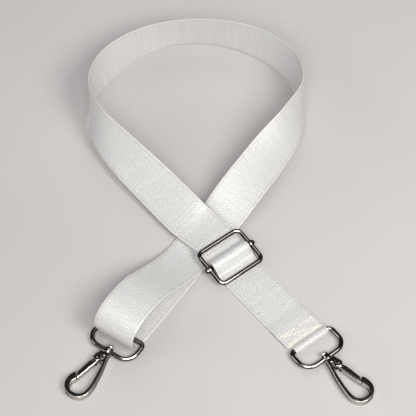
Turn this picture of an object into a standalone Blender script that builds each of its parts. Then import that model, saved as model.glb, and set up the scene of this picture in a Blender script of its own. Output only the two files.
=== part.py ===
"""Detachable bag strap: one long webbing with a sliding adjuster and two swivel snap hooks.

The strap lies on a table. The webbing is sewn round the bar of ring B, runs through the
slider, stands on edge round an open loop, crosses under itself, bends back round the bar
of ring A and ends sewn to the slider's bar. Lengths are in metres and +Z is up.
"""
import math

import bmesh
import bpy
from mathutils import Matrix, Vector

# Webbing
WEBBING_WIDTH = 0.038
WEBBING_THICKNESS = 0.0011
SEAT_GAP = 0.0003
STRAND_HEADING = math.radians(-51.7)
RETURN_HEADING = math.radians(-123.9)
SEWN_TAIL = 0.021
SEWN_DROP = 0.0055
BAR_TAIL = 0.013
CURVE_STEP = 0.0011
ROUTE_STEP = 0.003
FOLD_LEAD = 0.0012

# Places along the two strands, measured from the crossing
CROSSING_TO_RING_B = 0.1378
CROSSING_TO_RING_A = 0.1216
CROSSING_TO_SLIDER = 0.0336

# Free loop: plan place of the middle line as shares of LOOP_REACH from the crossing,
# height of the lower edge as a share of the width, and lean of the band in degrees
LOOP_REACH = 0.230
LOOP_ROUTE_SHARES = [
    (-0.028, 0.021, 0.12, 9), (-0.087, 0.076, 0.10, 21),
    (-0.204, 0.204, 0.13, 35), (-0.323, 0.331, 0.19, 50),
    (-0.427, 0.471, 0.17, 69), (-0.466, 0.637, 0.06, 91), (-0.411, 0.803, 0.02, 103),
    (-0.288, 0.929, 0.02, 94), (-0.126, 0.996, 0.04, 84), (0.050, 0.998, 0.04, 85),
    (0.215, 0.938, 0.02, 95), (0.342, 0.816, 0.02, 99), (0.390, 0.651, 0.07, 87),
    (0.341, 0.486, 0.18, 61), (0.246, 0.343, 0.18, 37), (0.146, 0.199, 0.16, 23),
    (0.082, 0.112, 0.08, 13)]
FLAT_BEFORE_CROSSING = 0.015

# Arch of the webbing over ring A: along and height as shares of ARCH_HEIGHT
ARCH_HEIGHT = 0.0324
ARCH_SHARES = [
    (0.16, 0.07), (0.28, 0.19), (0.37, 0.37), (0.39, 0.56), (0.32, 0.74), (0.15, 0.89),
    (-0.10, 0.98), (-0.37, 1.00), (-0.74, 0.965), (-1.08, 0.87), (-1.60, 0.59),
    (-2.16, 0.29), (-2.62, 0.12), (-2.95, 0.065)]
ARCH_START = 0.001

# Slider
FRAME_WIRE = 0.0016
FRAME_LENGTH = 0.0385
FRAME_CORNER = 0.005
FRAME_TRAVEL = 0.004
SLIDER_BAR_RADIUS = 0.0015
EYELET_WALL = 0.0008
EYELET_LENGTH = 0.0045
SIDE_CLEARANCE = 0.0003
BUMP_REACH = 0.010
BUMP_RELIEF = 0.0002
WRAP_REACH = 0.008
TAIL_REACH = 0.005

# Ring
RING_WIRE = 0.0018
RING_NEAR_CORNER = 0.0040
RING_END_SLACK = 0.0006
RING_TOP_SLACK = 0.0003
PINCH_SHARE = 0.09
PINCH_REACH = 0.005
PINCH_START = 0.009
RING_FAR_CORNER = 0.0105
RING_SIDE_CLEARANCE = 0.0004
BARREL_RADIUS = 0.0030
BARREL_LENGTH = 0.0048
BAR_TO_SWIVEL = 0.0183
SWIVEL_TO_BARREL = 0.0002

# Swivel post
POST_RADIUS = 0.0014
POST_HEAD_RADIUS = 0.0030
POST_HEAD_LENGTH = 0.0030
DOME_SHARES = [(1.0, 0.45), (0.8, 0.8), (0.5, 1.0)]
PEEN_RADIUS = 0.0020
PEEN_LENGTH = 0.0008

# Hook body
HOOK_LENGTH = 0.0476
HOOK_HALF_WIDTH = 0.0113
HOOK_THICKNESS = 0.0060
HOOK_EDGE = 0.0006
HEAD_START = 0.0054
HEAD_HALF_WIDTH = 0.0038
HEAD_WALL = 0.0026
PIVOT_ACROSS = 0.0029
PIVOT_ALONG = 0.0078
CHEEK_RADIUS = 0.0032
WINDOW_LEFT = 0.0029
WINDOW_RIGHT = 0.0024
WINDOW_WAIST = 0.0009
WINDOW_END = 0.0084
WINDOW_STEP = 0.0053
SLOT_SPREAD = 0.0015

# Outline of the hook past its head, as shares of its half width and length
SPINE_SHARES = [
    (-0.38, 0.063), (-0.46, 0.139), (-0.57, 0.221), (-0.67, 0.300), (-0.84, 0.473),
    (-0.965, 0.630), (-1.00, 0.767), (-0.94, 0.861), (-0.735, 0.945), (-0.40, 0.991),
    (0.0, 1.0), (0.40, 0.985), (0.725, 0.933), (0.94, 0.849), (1.00, 0.756),
    (0.95, 0.668), (0.87, 0.630), (0.752, 0.599)]
EYE_SHARES = [
    (0.434, 0.697), (0.55, 0.767), (0.56, 0.830), (0.41, 0.899), (0.14, 0.931),
    (-0.18, 0.933), (-0.48, 0.903), (-0.67, 0.845), (-0.735, 0.763), (-0.70, 0.630),
    (-0.585, 0.462), (-0.434, 0.294), (-0.372, 0.227), (-0.345, 0.206)]
HEAD_RIGHT_SHARES = [(0.50, 0.115), (0.42, 0.063)]

# Gate
GATE_THICKNESS = 0.0050
TONGUE_RADIUS = 0.0020
TONGUE_LUG = 0.0006
PIN_RADIUS = 0.0007
GATE_ARM_SHARES = [
    (0.54, 0.258), (0.637, 0.422), (0.708, 0.557), (0.726, 0.592), (0.407, 0.691),
    (0.283, 0.546), (0.159, 0.378), (0.035, 0.265), (0.0, 0.240)]
TONGUE_END_SHARE = 0.268
TONGUE_FOOT_SHARES = (0.48, 0.06)

# Gate spring
SPRING_WIRE = 0.00015
SPRING_PITCH = 0.00075
SPRING_TURNS = 2
SPRING_COIL_RADIUS = 0.0012
SPRING_LEG = 0.0057
SPRING_LEG_CLEARANCE = 0.0005

# Stitching
THREAD_RADIUS = 0.00025
STITCH_MARGIN = 0.004
STITCH_LENGTH = 0.0115
STITCH_START = 0.0055
STITCH_STROKES = 12
BAR_STITCH_NEAR = 0.0033
BAR_STITCH_FAR = 0.0043
BAR_STITCH_STROKES = 12

# Mesh detail
WIRE_SIDES = 12
ARC_STEPS = 6
CUT_OVERRUN = 0.002
ROUND_SIDES = 24
COIL_STEPS = 10

# Derived heights of the layers that lie on one another
PITCH = WEBBING_THICKNESS + SEAT_GAP
HALF_THICKNESS = WEBBING_THICKNESS / 2
LAYERS = [HALF_THICKNESS + count * PITCH for count in range(5)]
HALF_WIDTH = WEBBING_WIDTH / 2

# Derived slider sizes
FRAME_HALF_WIDTH = HALF_WIDTH + SIDE_CLEARANCE + FRAME_WIRE + SEAT_GAP + EYELET_WALL
FRAME_HALF_LENGTH = FRAME_LENGTH / 2 - FRAME_WIRE
FRAME_DROP = FRAME_WIRE + SEAT_GAP + HALF_THICKNESS
WRAP_RADIUS = SLIDER_BAR_RADIUS + SEAT_GAP + HALF_THICKNESS
OVER_RADIUS = WRAP_RADIUS + PITCH
LOW_REACH = FRAME_HALF_LENGTH + FRAME_TRAVEL
LOW_HEIGHT = LAYERS[0] + FRAME_DROP
HIGH_HEIGHT = LAYERS[4] + FRAME_DROP
FRAME_SLOPE = (HIGH_HEIGHT - LOW_HEIGHT) / (LOW_REACH + BUMP_REACH)
SLIDER_BAR_HEIGHT = LOW_HEIGHT + LOW_REACH * FRAME_SLOPE

# Derived ring and hook sizes
RING_HALF_WIDTH = HALF_WIDTH + RING_SIDE_CLEARANCE + RING_WIRE
RING_WRAP_RADIUS = RING_WIRE + SEAT_GAP + HALF_THICKNESS
RING_BAR_HEIGHT = WEBBING_THICKNESS + SEAT_GAP + RING_WIRE
BORE_RADIUS = POST_RADIUS + SEAT_GAP
BARREL_START = BAR_TO_SWIVEL + SWIVEL_TO_BARREL
BARREL_END = BARREL_START + BARREL_LENGTH
RING_FAR = BARREL_START + BARREL_LENGTH / 2
CLIP_LENGTH = BAR_TO_SWIVEL + HEAD_START + HOOK_LENGTH
CLIP_TILT = math.asin((RING_BAR_HEIGHT - HOOK_THICKNESS / 2) / CLIP_LENGTH)
SPRING_HEIGHT = SPRING_TURNS * SPRING_PITCH + SPRING_WIRE * 2
NOTCH_HEIGHT = SPRING_HEIGHT + SEAT_GAP * 2
TONGUE_THICKNESS = NOTCH_HEIGHT + TONGUE_LUG * 2
SLOT_HEIGHT = TONGUE_THICKNESS + SEAT_GAP * 2

UP = Vector((0, 0, 1))
STRAND = Vector((math.cos(STRAND_HEADING), math.sin(STRAND_HEADING), 0))
RETURN = Vector((math.cos(RETURN_HEADING), math.sin(RETURN_HEADING), 0))


def clear_scene():
    for obj in list(bpy.data.objects):
        bpy.data.objects.remove(obj, do_unlink=True)


def material(name, color, roughness, metallic):
    """One plain material with the part's colour, roughness and metallic value."""
    mat = bpy.data.materials.new(name)
    mat.use_nodes = True
    shader = mat.node_tree.nodes["Principled BSDF"]
    shader.inputs["Base Color"].default_value = (*color, 1)
    shader.inputs["Roughness"].default_value = roughness
    shader.inputs["Metallic"].default_value = metallic
    mat.diffuse_color = (*color, 1)
    return mat


def add_object(name, mesh, mat=None, parent=None, place=None):
    """Link a mesh or curve to the scene under its parent, at its place in that parent."""
    obj = bpy.data.objects.new(name, mesh)
    bpy.context.scene.collection.objects.link(obj)
    if mat:
        obj.data.materials.append(mat)
    obj.parent = parent
    if place:
        obj.matrix_local = place
    return obj


def add_empty(name, place, parent=None):
    obj = bpy.data.objects.new(name, None)
    bpy.context.scene.collection.objects.link(obj)
    obj.parent = parent
    obj.matrix_local = place
    return obj


def mesh_from(bm, name):
    bmesh.ops.recalc_face_normals(bm, faces=bm.faces)
    mesh = bpy.data.meshes.new(name)
    bm.to_mesh(mesh)
    bm.free()
    return mesh


def boolean(obj, tool, operation):
    """Join or cut with a hidden tool that moves with the object."""
    tool.parent = obj
    tool.hide_render = True
    tool.display_type = "WIRE"
    step = obj.modifiers.new(tool.name, "BOOLEAN")
    step.operation = operation
    step.solver = "EXACT"
    step.object = tool


def skin(rings, closed):
    """Mesh over a row of equal vertex rings, capped at both ends unless it closes."""
    bm = bmesh.new()
    rows = [[bm.verts.new(point) for point in ring] for ring in rings]
    pairs = list(zip(rows, rows[1:]))
    if closed:
        pairs.append((rows[-1], rows[0]))
    else:
        bm.faces.new(rows[0])
        bm.faces.new(rows[-1])
    for first, second in pairs:
        for spot in range(len(first)):
            after = (spot + 1) % len(first)
            bm.faces.new((first[spot], first[after], second[after], second[spot]))
    return bm


def planar_tube(path, radius, sides, closed):
    """Round wire along a path that lies in the local XY plane."""
    rings = []
    for spot, point in enumerate(path):
        before = path[spot - 1] if closed or spot else point
        after = path[(spot + 1) % len(path)] if closed or spot + 1 < len(path) else point
        along = (after - before).normalized()
        across = along.cross(UP)
        ring = []
        for side in range(sides):
            angle = math.tau * side / sides
            ring.append(point + (across * math.cos(angle) + UP * math.sin(angle)) * radius)
        rings.append(ring)
    return skin(rings, closed)


def lathe(profile, sides):
    """Solid turned about the local Y axis from (along, radius) pairs."""
    rings = []
    for along, radius in profile:
        ring = []
        for side in range(sides):
            angle = math.tau * side / sides
            ring.append(Vector((radius * math.cos(angle), along, radius * math.sin(angle))))
        rings.append(ring)
    return skin(rings, False)


def plate(outline, height):
    """Flat plate of one outline, centred on the local XY plane."""
    rings = [[Vector((x, y, level)) for x, y in outline] for level in (-height / 2, height / 2)]
    return skin(rings, False)


def arc(centre, radius, start, end, steps):
    """Points on an arc in the local XY plane, angles in degrees."""
    points = []
    for step in range(steps + 1):
        angle = math.radians(start + (end - start) * step / steps)
        points.append(Vector((centre[0] + radius * math.cos(angle),
                              centre[1] + radius * math.sin(angle), 0)))
    return points


def rounded_loop(half_width, near, far, near_radius, far_radius):
    """Middle line of a bent wire loop between two cross members."""
    path = []
    path += arc((half_width - near_radius, near + near_radius), near_radius, -90, 0, ARC_STEPS)
    path += arc((half_width - far_radius, far - far_radius), far_radius, 0, 90, ARC_STEPS)
    path += arc((far_radius - half_width, far - far_radius), far_radius, 90, 180, ARC_STEPS)
    path += arc((near_radius - half_width, near + near_radius), near_radius, 180, 270, ARC_STEPS)
    return path


def smooth(share):
    """Eased step from 0 to 1."""
    share = min(max(share, 0.0), 1.0)
    return share * share * (3 - 2 * share)


def catmull(points, step):
    """Even points on a smooth curve through tuples of equal length."""
    padded = [points[0], *points, points[-1]]
    result = []
    for index in range(1, len(padded) - 2):
        p0, p1, p2, p3 = (Vector(value) for value in padded[index - 1:index + 3])
        span = (p2 - p1).to_3d().length if len(p1) > 2 else (p2 - p1).length
        count = max(2, round(span / step))
        for part in range(count):
            t = part / count
            result.append(0.5 * (2 * p1 + (p2 - p0) * t + (2 * p0 - 5 * p1 + 4 * p2 - p3) * t ** 2
                                 + (3 * p1 - p0 - 3 * p2 + p3) * t ** 3))
    result.append(Vector(points[-1]))
    return result


def spread(start, end, step):
    """Even values from start to end, both kept."""
    count = max(1, round(abs(end - start) / step))
    return [start + (end - start) * part / count for part in range(count + 1)]


def frame_height(reach):
    """Height of the slider's plane at a distance from its bar, toward the crossing."""
    return SLIDER_BAR_HEIGHT + reach * FRAME_SLOPE


def tail_height(reach):
    """Height of the sewn tail under the slider's bar, at a distance from that bar."""
    low = SLIDER_BAR_HEIGHT - WRAP_RADIUS
    return low + (LAYERS[2] - low) * smooth(reach / TAIL_REACH)


def strand_profile():
    """Middle line of the upper strand from the tail at ring B to past the slider."""
    ring = CROSSING_TO_RING_B
    line = [(ring - SEWN_TAIL, LAYERS[0])]
    line += [(along, LAYERS[0]) for along in spread(ring - PINCH_START, ring, CURVE_STEP * 2)]
    radius = RING_WRAP_RADIUS + RING_TOP_SLACK / 2
    for step in range(ARC_STEPS * 2 + 1):
        angle = math.radians(-90) + math.pi * step / (ARC_STEPS * 2)
        line.append((ring + RING_END_SLACK + radius * math.cos(angle),
                     LAYERS[0] + radius * (1 + math.sin(angle))))
    top = LAYERS[0] + radius * 2
    for along in spread(ring, ring - SEWN_DROP, CURVE_STEP):
        share = smooth((along - ring + SEWN_DROP) / SEWN_DROP)
        line.append((along, LAYERS[1] + (top - LAYERS[1]) * share))
    tail_end = ring - SEWN_TAIL - SEAT_GAP
    for along in spread(tail_end, tail_end - SEWN_DROP, CURVE_STEP * 2):
        share = smooth((along - tail_end + SEWN_DROP) / SEWN_DROP)
        line.append((along, LAYERS[0] + PITCH * share))
    line.append((CROSSING_TO_SLIDER + LOW_REACH, LAYERS[0]))
    rise = OVER_RADIUS + FRAME_DROP + BUMP_RELIEF
    for reach in spread(-BUMP_REACH, BUMP_REACH, CURVE_STEP):
        share = math.cos(math.pi / 2 * reach / BUMP_REACH) ** 2
        line.append((CROSSING_TO_SLIDER - reach, frame_height(reach) - FRAME_DROP + rise * share))
    line.append((CROSSING_TO_SLIDER - LOW_REACH, frame_height(LOW_REACH) - FRAME_DROP))
    return line


def bar_profile():
    """Middle line of the lower strand from the fold to its sewn tail at the slider."""
    top = SLIDER_BAR_HEIGHT + WRAP_RADIUS
    line = []
    for reach in spread(CROSSING_TO_SLIDER - FLAT_BEFORE_CROSSING, BAR_TAIL, CURVE_STEP):
        share = (CROSSING_TO_SLIDER - FLAT_BEFORE_CROSSING - reach)
        share = smooth(share / (CROSSING_TO_SLIDER - FLAT_BEFORE_CROSSING - BAR_TAIL))
        line.append((CROSSING_TO_SLIDER - reach, LAYERS[2] + PITCH * share))
    for reach in spread(WRAP_REACH, 0, CURVE_STEP):
        share = math.cos(math.pi / 2 * reach / WRAP_REACH) ** 2
        line.append((CROSSING_TO_SLIDER - reach, LAYERS[3] + (top - LAYERS[3]) * share))
    for step in range(1, ARC_STEPS * 2 + 1):
        angle = math.radians(90) - math.pi * step / (ARC_STEPS * 2)
        line.append((CROSSING_TO_SLIDER + WRAP_RADIUS * math.cos(angle),
                     SLIDER_BAR_HEIGHT + WRAP_RADIUS * math.sin(angle)))
    for reach in spread(0, TAIL_REACH, CURVE_STEP)[1:]:
        line.append((CROSSING_TO_SLIDER - reach, tail_height(reach)))
    line.append((CROSSING_TO_SLIDER - BAR_TAIL, LAYERS[2]))
    return line


def loop_centres():
    """Middle line and lean of the band round the open loop, from slider to crossing."""
    lead = []
    for reach in (BUMP_REACH, LOW_REACH):
        lead.append((*(STRAND * (CROSSING_TO_SLIDER - reach)).xy, frame_height(reach) - FRAME_DROP, 0))
    for across, along, lift, lean in LOOP_ROUTE_SHARES:
        tilt = math.radians(lean)
        height = lift * WEBBING_WIDTH + HALF_WIDTH * math.sin(tilt)
        height += HALF_THICKNESS * abs(math.cos(tilt))
        lead.append((across * LOOP_REACH, along * LOOP_REACH, height, tilt))
    lead.append((*(RETURN * -FLAT_BEFORE_CROSSING).xy, LAYERS[0], 0))
    curve = catmull(lead, ROUTE_STEP)
    return [point for point in curve if point.xy.dot(STRAND.xy) <= CROSSING_TO_SLIDER - LOW_REACH]


def arch_profile():
    """Middle line of the returning strand from the table, over ring A, to the fold."""
    ring = CROSSING_TO_RING_A
    flat = [(along, LAYERS[0]) for along in spread(ring - PINCH_START, ring, CURVE_STEP * 2)]
    points = [(ring + ARCH_START, LAYERS[0])]
    for along, height in ARCH_SHARES:
        points.append((ring + along * ARCH_HEIGHT, height * ARCH_HEIGHT))
    points.append((FLAT_BEFORE_CROSSING + FOLD_LEAD, LAYERS[1]))
    curve = catmull([(*point, 0) for point in points], CURVE_STEP * 2)
    return flat + [(point.x, point.y) for point in curve]


def pinch(along, height, ring):
    """Share of the width that is left where the band is drawn together at a ring's bar."""
    distance = math.hypot(along - ring, height - RING_BAR_HEIGHT) - RING_WRAP_RADIUS
    return 1 - PINCH_SHARE * (1 - smooth(distance / PINCH_REACH))


def flat_stations(line, heading, width, ring):
    """Stations of a strand that keeps one heading and one width direction."""
    stations = []
    points = [heading * along + UP * height for along, height in line]
    for spot, point in enumerate(points):
        before = points[max(spot - 1, 0)]
        after = points[min(spot + 1, len(points) - 1)]
        normal = width.cross((after - before).normalized()).normalized()
        stations.append((point, width * (HALF_WIDTH * pinch(*line[spot], ring)), normal))
    return stations


def loop_stations():
    """Stations of the band that stands on edge round the open loop."""
    stations = []
    curve = loop_centres()
    for spot in range(1, len(curve) - 1):
        tangent = (curve[spot + 1] - curve[spot - 1]).to_3d().normalized()
        right = tangent.cross(UP).normalized()
        top = right.cross(tangent)
        lean = curve[spot][3]
        width = right * math.cos(lean) + top * math.sin(lean)
        stations.append((curve[spot].to_3d(), width * HALF_WIDTH, width.cross(tangent)))
    return stations


def fold_stations():
    """Stations round the diagonal fold under the crossing."""
    crease = (STRAND - RETURN).normalized()
    away = UP.cross(crease)
    reach = HALF_WIDTH / abs(crease.cross(RETURN).z)
    radius = PITCH / 2
    stations = []
    for step in range(ARC_STEPS + 1):
        angle = math.pi * step / ARC_STEPS
        outward = away * math.sin(angle) - UP * math.cos(angle)
        point = UP * (LAYERS[1] + radius) + outward * radius
        stations.append((point, -crease * reach, outward))
    return stations


def build_webbing(mat, root):
    """One unbroken band: sewn end, slider, loop, crossing, ring A, fold and slider end."""
    strand_right = UP.cross(STRAND)
    return_right = RETURN.cross(UP)
    stations = flat_stations(strand_profile(), STRAND, strand_right, CROSSING_TO_RING_B)
    stations += loop_stations()
    flat = RETURN * -FLAT_BEFORE_CROSSING + UP * LAYERS[0]
    stations.append((flat, return_right * HALF_WIDTH, UP))
    stations += flat_stations(arch_profile(), RETURN, return_right, CROSSING_TO_RING_A)
    stations += fold_stations()
    stations += flat_stations(bar_profile(), STRAND, -strand_right, CROSSING_TO_RING_B)
    rings = []
    for point, half, normal in stations:
        lift = normal * HALF_THICKNESS
        rings.append([point + half + lift, point - half + lift,
                      point - half - lift, point + half - lift])
    return add_object("webbing", mesh_from(skin(rings, False), "webbing"), mat, root)


def build_stitching(name, mat, root, rows, strokes):
    """Zigzag of thread across the width between two rows, each (along, height)."""
    half = HALF_WIDTH - STITCH_MARGIN
    side = UP.cross(STRAND)
    curve = bpy.data.curves.new(name, "CURVE")
    curve.dimensions = "3D"
    curve.bevel_depth = THREAD_RADIUS
    curve.bevel_resolution = 1
    curve.use_fill_caps = True
    spline = curve.splines.new("POLY")
    spline.points.add(strokes)
    for stroke in range(strokes + 1):
        along, height = rows[stroke % 2]
        place = STRAND * along + side * (half * (2 * stroke / strokes - 1)) + UP * height
        spline.points[stroke].co = (*place, 1)
    return add_object(name, curve, mat, root)


def build_slider(mat, root):
    """Wire frame and the bar whose eyelets slide along the frame's two sides."""
    tilt = math.atan(FRAME_SLOPE)
    turn = Matrix.Rotation(STRAND_HEADING + math.radians(90), 4, "Z")
    turn = turn @ Matrix.Rotation(tilt, 4, "X")
    place = Matrix.Translation(STRAND * CROSSING_TO_SLIDER + UP * SLIDER_BAR_HEIGHT) @ turn
    path = rounded_loop(FRAME_HALF_WIDTH, -FRAME_HALF_LENGTH, FRAME_HALF_LENGTH,
                        FRAME_CORNER, FRAME_CORNER)
    wire = mesh_from(planar_tube(path, FRAME_WIRE, WIRE_SIDES, True), "slider_frame")
    add_object("slider_frame", wire, mat, root, place)
    ends = [Vector((-FRAME_HALF_WIDTH, 0, 0)), Vector((FRAME_HALF_WIDTH, 0, 0))]
    rod = planar_tube(ends, SLIDER_BAR_RADIUS, ROUND_SIDES, False)
    bar = add_object("slider_bar", mesh_from(rod, "slider_bar"), mat, root, place)
    bore = FRAME_WIRE + SEAT_GAP
    for sign, word in ((-1, "left"), (1, "right")):
        spot = Matrix.Translation(Vector((sign * FRAME_HALF_WIDTH, 0, 0)))
        half = EYELET_LENGTH / 2
        knob = lathe([(-half, bore + EYELET_WALL), (half, bore + EYELET_WALL)], ROUND_SIDES)
        hole = lathe([(-half - CUT_OVERRUN, bore), (half + CUT_OVERRUN, bore)], ROUND_SIDES)
        knob_tool = add_object("eyelet_" + word, mesh_from(knob, "eyelet_" + word))
        hole_tool = add_object("eyelet_bore_" + word, mesh_from(hole, "eyelet_bore_" + word))
        boolean(bar, knob_tool, "UNION")
        boolean(bar, hole_tool, "DIFFERENCE")
        knob_tool.matrix_local = spot
        hole_tool.matrix_local = spot


def build_ring(tag, mat, clip):
    """Bent wire ring with the drilled barrel that the swivel post turns in."""
    path = rounded_loop(RING_HALF_WIDTH, 0, RING_FAR, RING_NEAR_CORNER, RING_FAR_CORNER)
    wire = mesh_from(planar_tube(path, RING_WIRE, WIRE_SIDES, True), "ring_" + tag)
    ring = add_object("ring_" + tag, wire, mat, clip, Matrix.Identity(4))
    barrel = lathe([(BARREL_START, BARREL_RADIUS), (BARREL_END, BARREL_RADIUS)], ROUND_SIDES)
    bore = lathe([(BARREL_START - CUT_OVERRUN, BORE_RADIUS),
                  (BARREL_END + CUT_OVERRUN, BORE_RADIUS)], ROUND_SIDES)
    boolean(ring, add_object("barrel_" + tag, mesh_from(barrel, "barrel_" + tag)), "UNION")
    boolean(ring, add_object("bore_" + tag, mesh_from(bore, "bore_" + tag)), "DIFFERENCE")
    return ring


def build_post(tag, mat, swivel):
    """Headed post that holds the hook to the ring and is peened over inside the head."""
    neck = SWIVEL_TO_BARREL - SEAT_GAP
    peen = HEAD_START + HEAD_WALL + SEAT_GAP
    dome = POST_HEAD_RADIUS
    profile = [(neck - POST_HEAD_LENGTH * length, dome * width) for length, width in DOME_SHARES]
    profile += [(neck, dome), (neck, POST_RADIUS), (peen, POST_RADIUS), (peen, PEEN_RADIUS),
                (peen + PEEN_LENGTH / 2, PEEN_RADIUS), (peen + PEEN_LENGTH, POST_RADIUS)]
    name = "swivel_post_" + tag
    add_object(name, mesh_from(lathe(profile, ROUND_SIDES), name), mat, swivel, Matrix.Identity(4))


def hook_point(share):
    """Point of the hook's outline from its shares of half width and length."""
    return Vector((share[0] * HOOK_HALF_WIDTH, HEAD_START + share[1] * HOOK_LENGTH, 0))


def soften(points):
    """Rounded outline through the points, two steps to each span."""
    padded = [points[0], *points, points[-1]]
    result = []
    for index in range(1, len(padded) - 2):
        p0, p1, p2, p3 = padded[index - 1:index + 3]
        for part in range(2):
            t = part / 2
            result.append(0.5 * (2 * p1 + (p2 - p0) * t + (2 * p0 - 5 * p1 + 4 * p2 - p3) * t ** 2
                                 + (3 * p1 - p0 - 3 * p2 + p3) * t ** 3))
    result.append(points[-1])
    return result


def hook_outline():
    """Closed outline: head, spine, nose, eye and the cheek round the gate's pivot."""
    pivot = (PIVOT_ACROSS, HEAD_START + PIVOT_ALONG)
    outline = [Vector((-HEAD_HALF_WIDTH, HEAD_START, 0))]
    outline += soften([hook_point(share) for share in SPINE_SHARES])
    outline += soften([hook_point(share) for share in EYE_SHARES])
    outline += arc(pivot, CHEEK_RADIUS, 155, 0, ARC_STEPS * 2)
    outline += [hook_point(share) for share in HEAD_RIGHT_SHARES]
    outline.append(Vector((HEAD_HALF_WIDTH, HEAD_START, 0)))
    return [(point.x, point.y) for point in outline]


def build_hook_body(tag, mat, swivel):
    """Cast hook with its head window, gate slot, pin hole and post bore."""
    name = "hook_body_" + tag
    body = add_object(name, mesh_from(plate(hook_outline(), HOOK_THICKNESS), name), mat,
                      swivel, Matrix.Identity(4))
    edge = body.modifiers.new("edge", "BEVEL")
    edge.width = HOOK_EDGE
    edge.segments = 2
    edge.limit_method = "ANGLE"
    edge.angle_limit = math.radians(60)
    top = HEAD_START + HEAD_WALL
    window = [(-WINDOW_LEFT, top), (WINDOW_RIGHT, top), (WINDOW_RIGHT, HEAD_START + WINDOW_STEP),
              (WINDOW_WAIST, HEAD_START + WINDOW_STEP), (WINDOW_WAIST, HEAD_START + WINDOW_END),
              (-WINDOW_LEFT, HEAD_START + WINDOW_END)]
    tool = plate(window, HOOK_THICKNESS + CUT_OVERRUN * 2)
    boolean(body, add_object("window_" + tag, mesh_from(tool, "window_" + tag)), "DIFFERENCE")
    pivot = HEAD_START + PIVOT_ALONG
    left = PIVOT_ACROSS - TONGUE_RADIUS - SEAT_GAP
    slot_top = pivot - TONGUE_RADIUS - SEAT_GAP
    slot = [(left, slot_top), (HOOK_HALF_WIDTH, slot_top), (HOOK_HALF_WIDTH, pivot + CHEEK_RADIUS * 2),
            (left - SLOT_SPREAD, pivot + CHEEK_RADIUS * 2), (left - SLOT_SPREAD, pivot + SLOT_SPREAD),
            (left, pivot)]
    tool = plate(slot, SLOT_HEIGHT)
    boolean(body, add_object("slot_" + tag, mesh_from(tool, "slot_" + tag)), "DIFFERENCE")
    hole = plate(circle(PIN_RADIUS + SEAT_GAP, PIVOT_ACROSS, pivot), HOOK_THICKNESS + CUT_OVERRUN)
    boolean(body, add_object("pin_hole_" + tag, mesh_from(hole, "pin_hole_" + tag)), "DIFFERENCE")
    bore = lathe([(HEAD_START - CUT_OVERRUN, BORE_RADIUS), (top + SEAT_GAP, BORE_RADIUS)], ROUND_SIDES)
    boolean(body, add_object("post_bore_" + tag, mesh_from(bore, "post_bore_" + tag)), "DIFFERENCE")


def circle(radius, across, along):
    """Round outline in the local XY plane."""
    points = []
    for side in range(ROUND_SIDES):
        angle = math.tau * side / ROUND_SIDES
        points.append((across + radius * math.cos(angle), along + radius * math.sin(angle)))
    return points


def build_gate(tag, mat, pivot_empty):
    """Gate arm with the thin tongue that turns on the pin between the cheeks."""
    name = "gate_" + tag
    pivot = Vector((PIVOT_ACROSS, HEAD_START + PIVOT_ALONG, 0))
    arm = [hook_point(share) - pivot for share in GATE_ARM_SHARES]
    gate = add_object(name, mesh_from(plate([(p.x, p.y) for p in arm], GATE_THICKNESS), name), mat,
                      pivot_empty, Matrix.Identity(4))
    edge = gate.modifiers.new("edge", "BEVEL")
    edge.width = HOOK_EDGE
    edge.segments = 2
    edge.limit_method = "ANGLE"
    edge.angle_limit = math.radians(60)
    relief = plate(circle(CHEEK_RADIUS + SEAT_GAP, 0, 0), HOOK_THICKNESS)
    boolean(gate, add_object("relief_" + tag, mesh_from(relief, "relief_" + tag)), "DIFFERENCE")
    foot = HEAD_START + TONGUE_END_SHARE * HOOK_LENGTH - pivot.y
    outline = [(p.x, p.y) for p in arc((0, 0), TONGUE_RADIUS, -180, 0, ARC_STEPS * 2)]
    outline += [(share * HOOK_HALF_WIDTH - pivot.x, foot) for share in TONGUE_FOOT_SHARES]
    tongue = plate(outline, TONGUE_THICKNESS)
    boolean(gate, add_object("tongue_" + tag, mesh_from(tongue, "tongue_" + tag)), "UNION")
    edge_of_notch = SPRING_COIL_RADIUS + SPRING_WIRE + SEAT_GAP
    notch = [(-HOOK_HALF_WIDTH, -CHEEK_RADIUS), (edge_of_notch, -CHEEK_RADIUS),
             (edge_of_notch, SPRING_LEG + SEAT_GAP * 2), (-HOOK_HALF_WIDTH, SPRING_LEG + SEAT_GAP * 2)]
    tool = plate(notch, NOTCH_HEIGHT)
    boolean(gate, add_object("notch_" + tag, mesh_from(tool, "notch_" + tag)), "DIFFERENCE")
    hole = plate(circle(PIN_RADIUS + SEAT_GAP, 0, 0), HOOK_THICKNESS)
    boolean(gate, add_object("gate_hole_" + tag, mesh_from(hole, "gate_hole_" + tag)), "DIFFERENCE")


def build_pin(tag, mat, pivot_empty):
    name = "gate_pin_" + tag
    pin = plate(circle(PIN_RADIUS, 0, 0), HOOK_THICKNESS)
    add_object(name, mesh_from(pin, name), mat, pivot_empty, Matrix.Identity(4))


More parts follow.
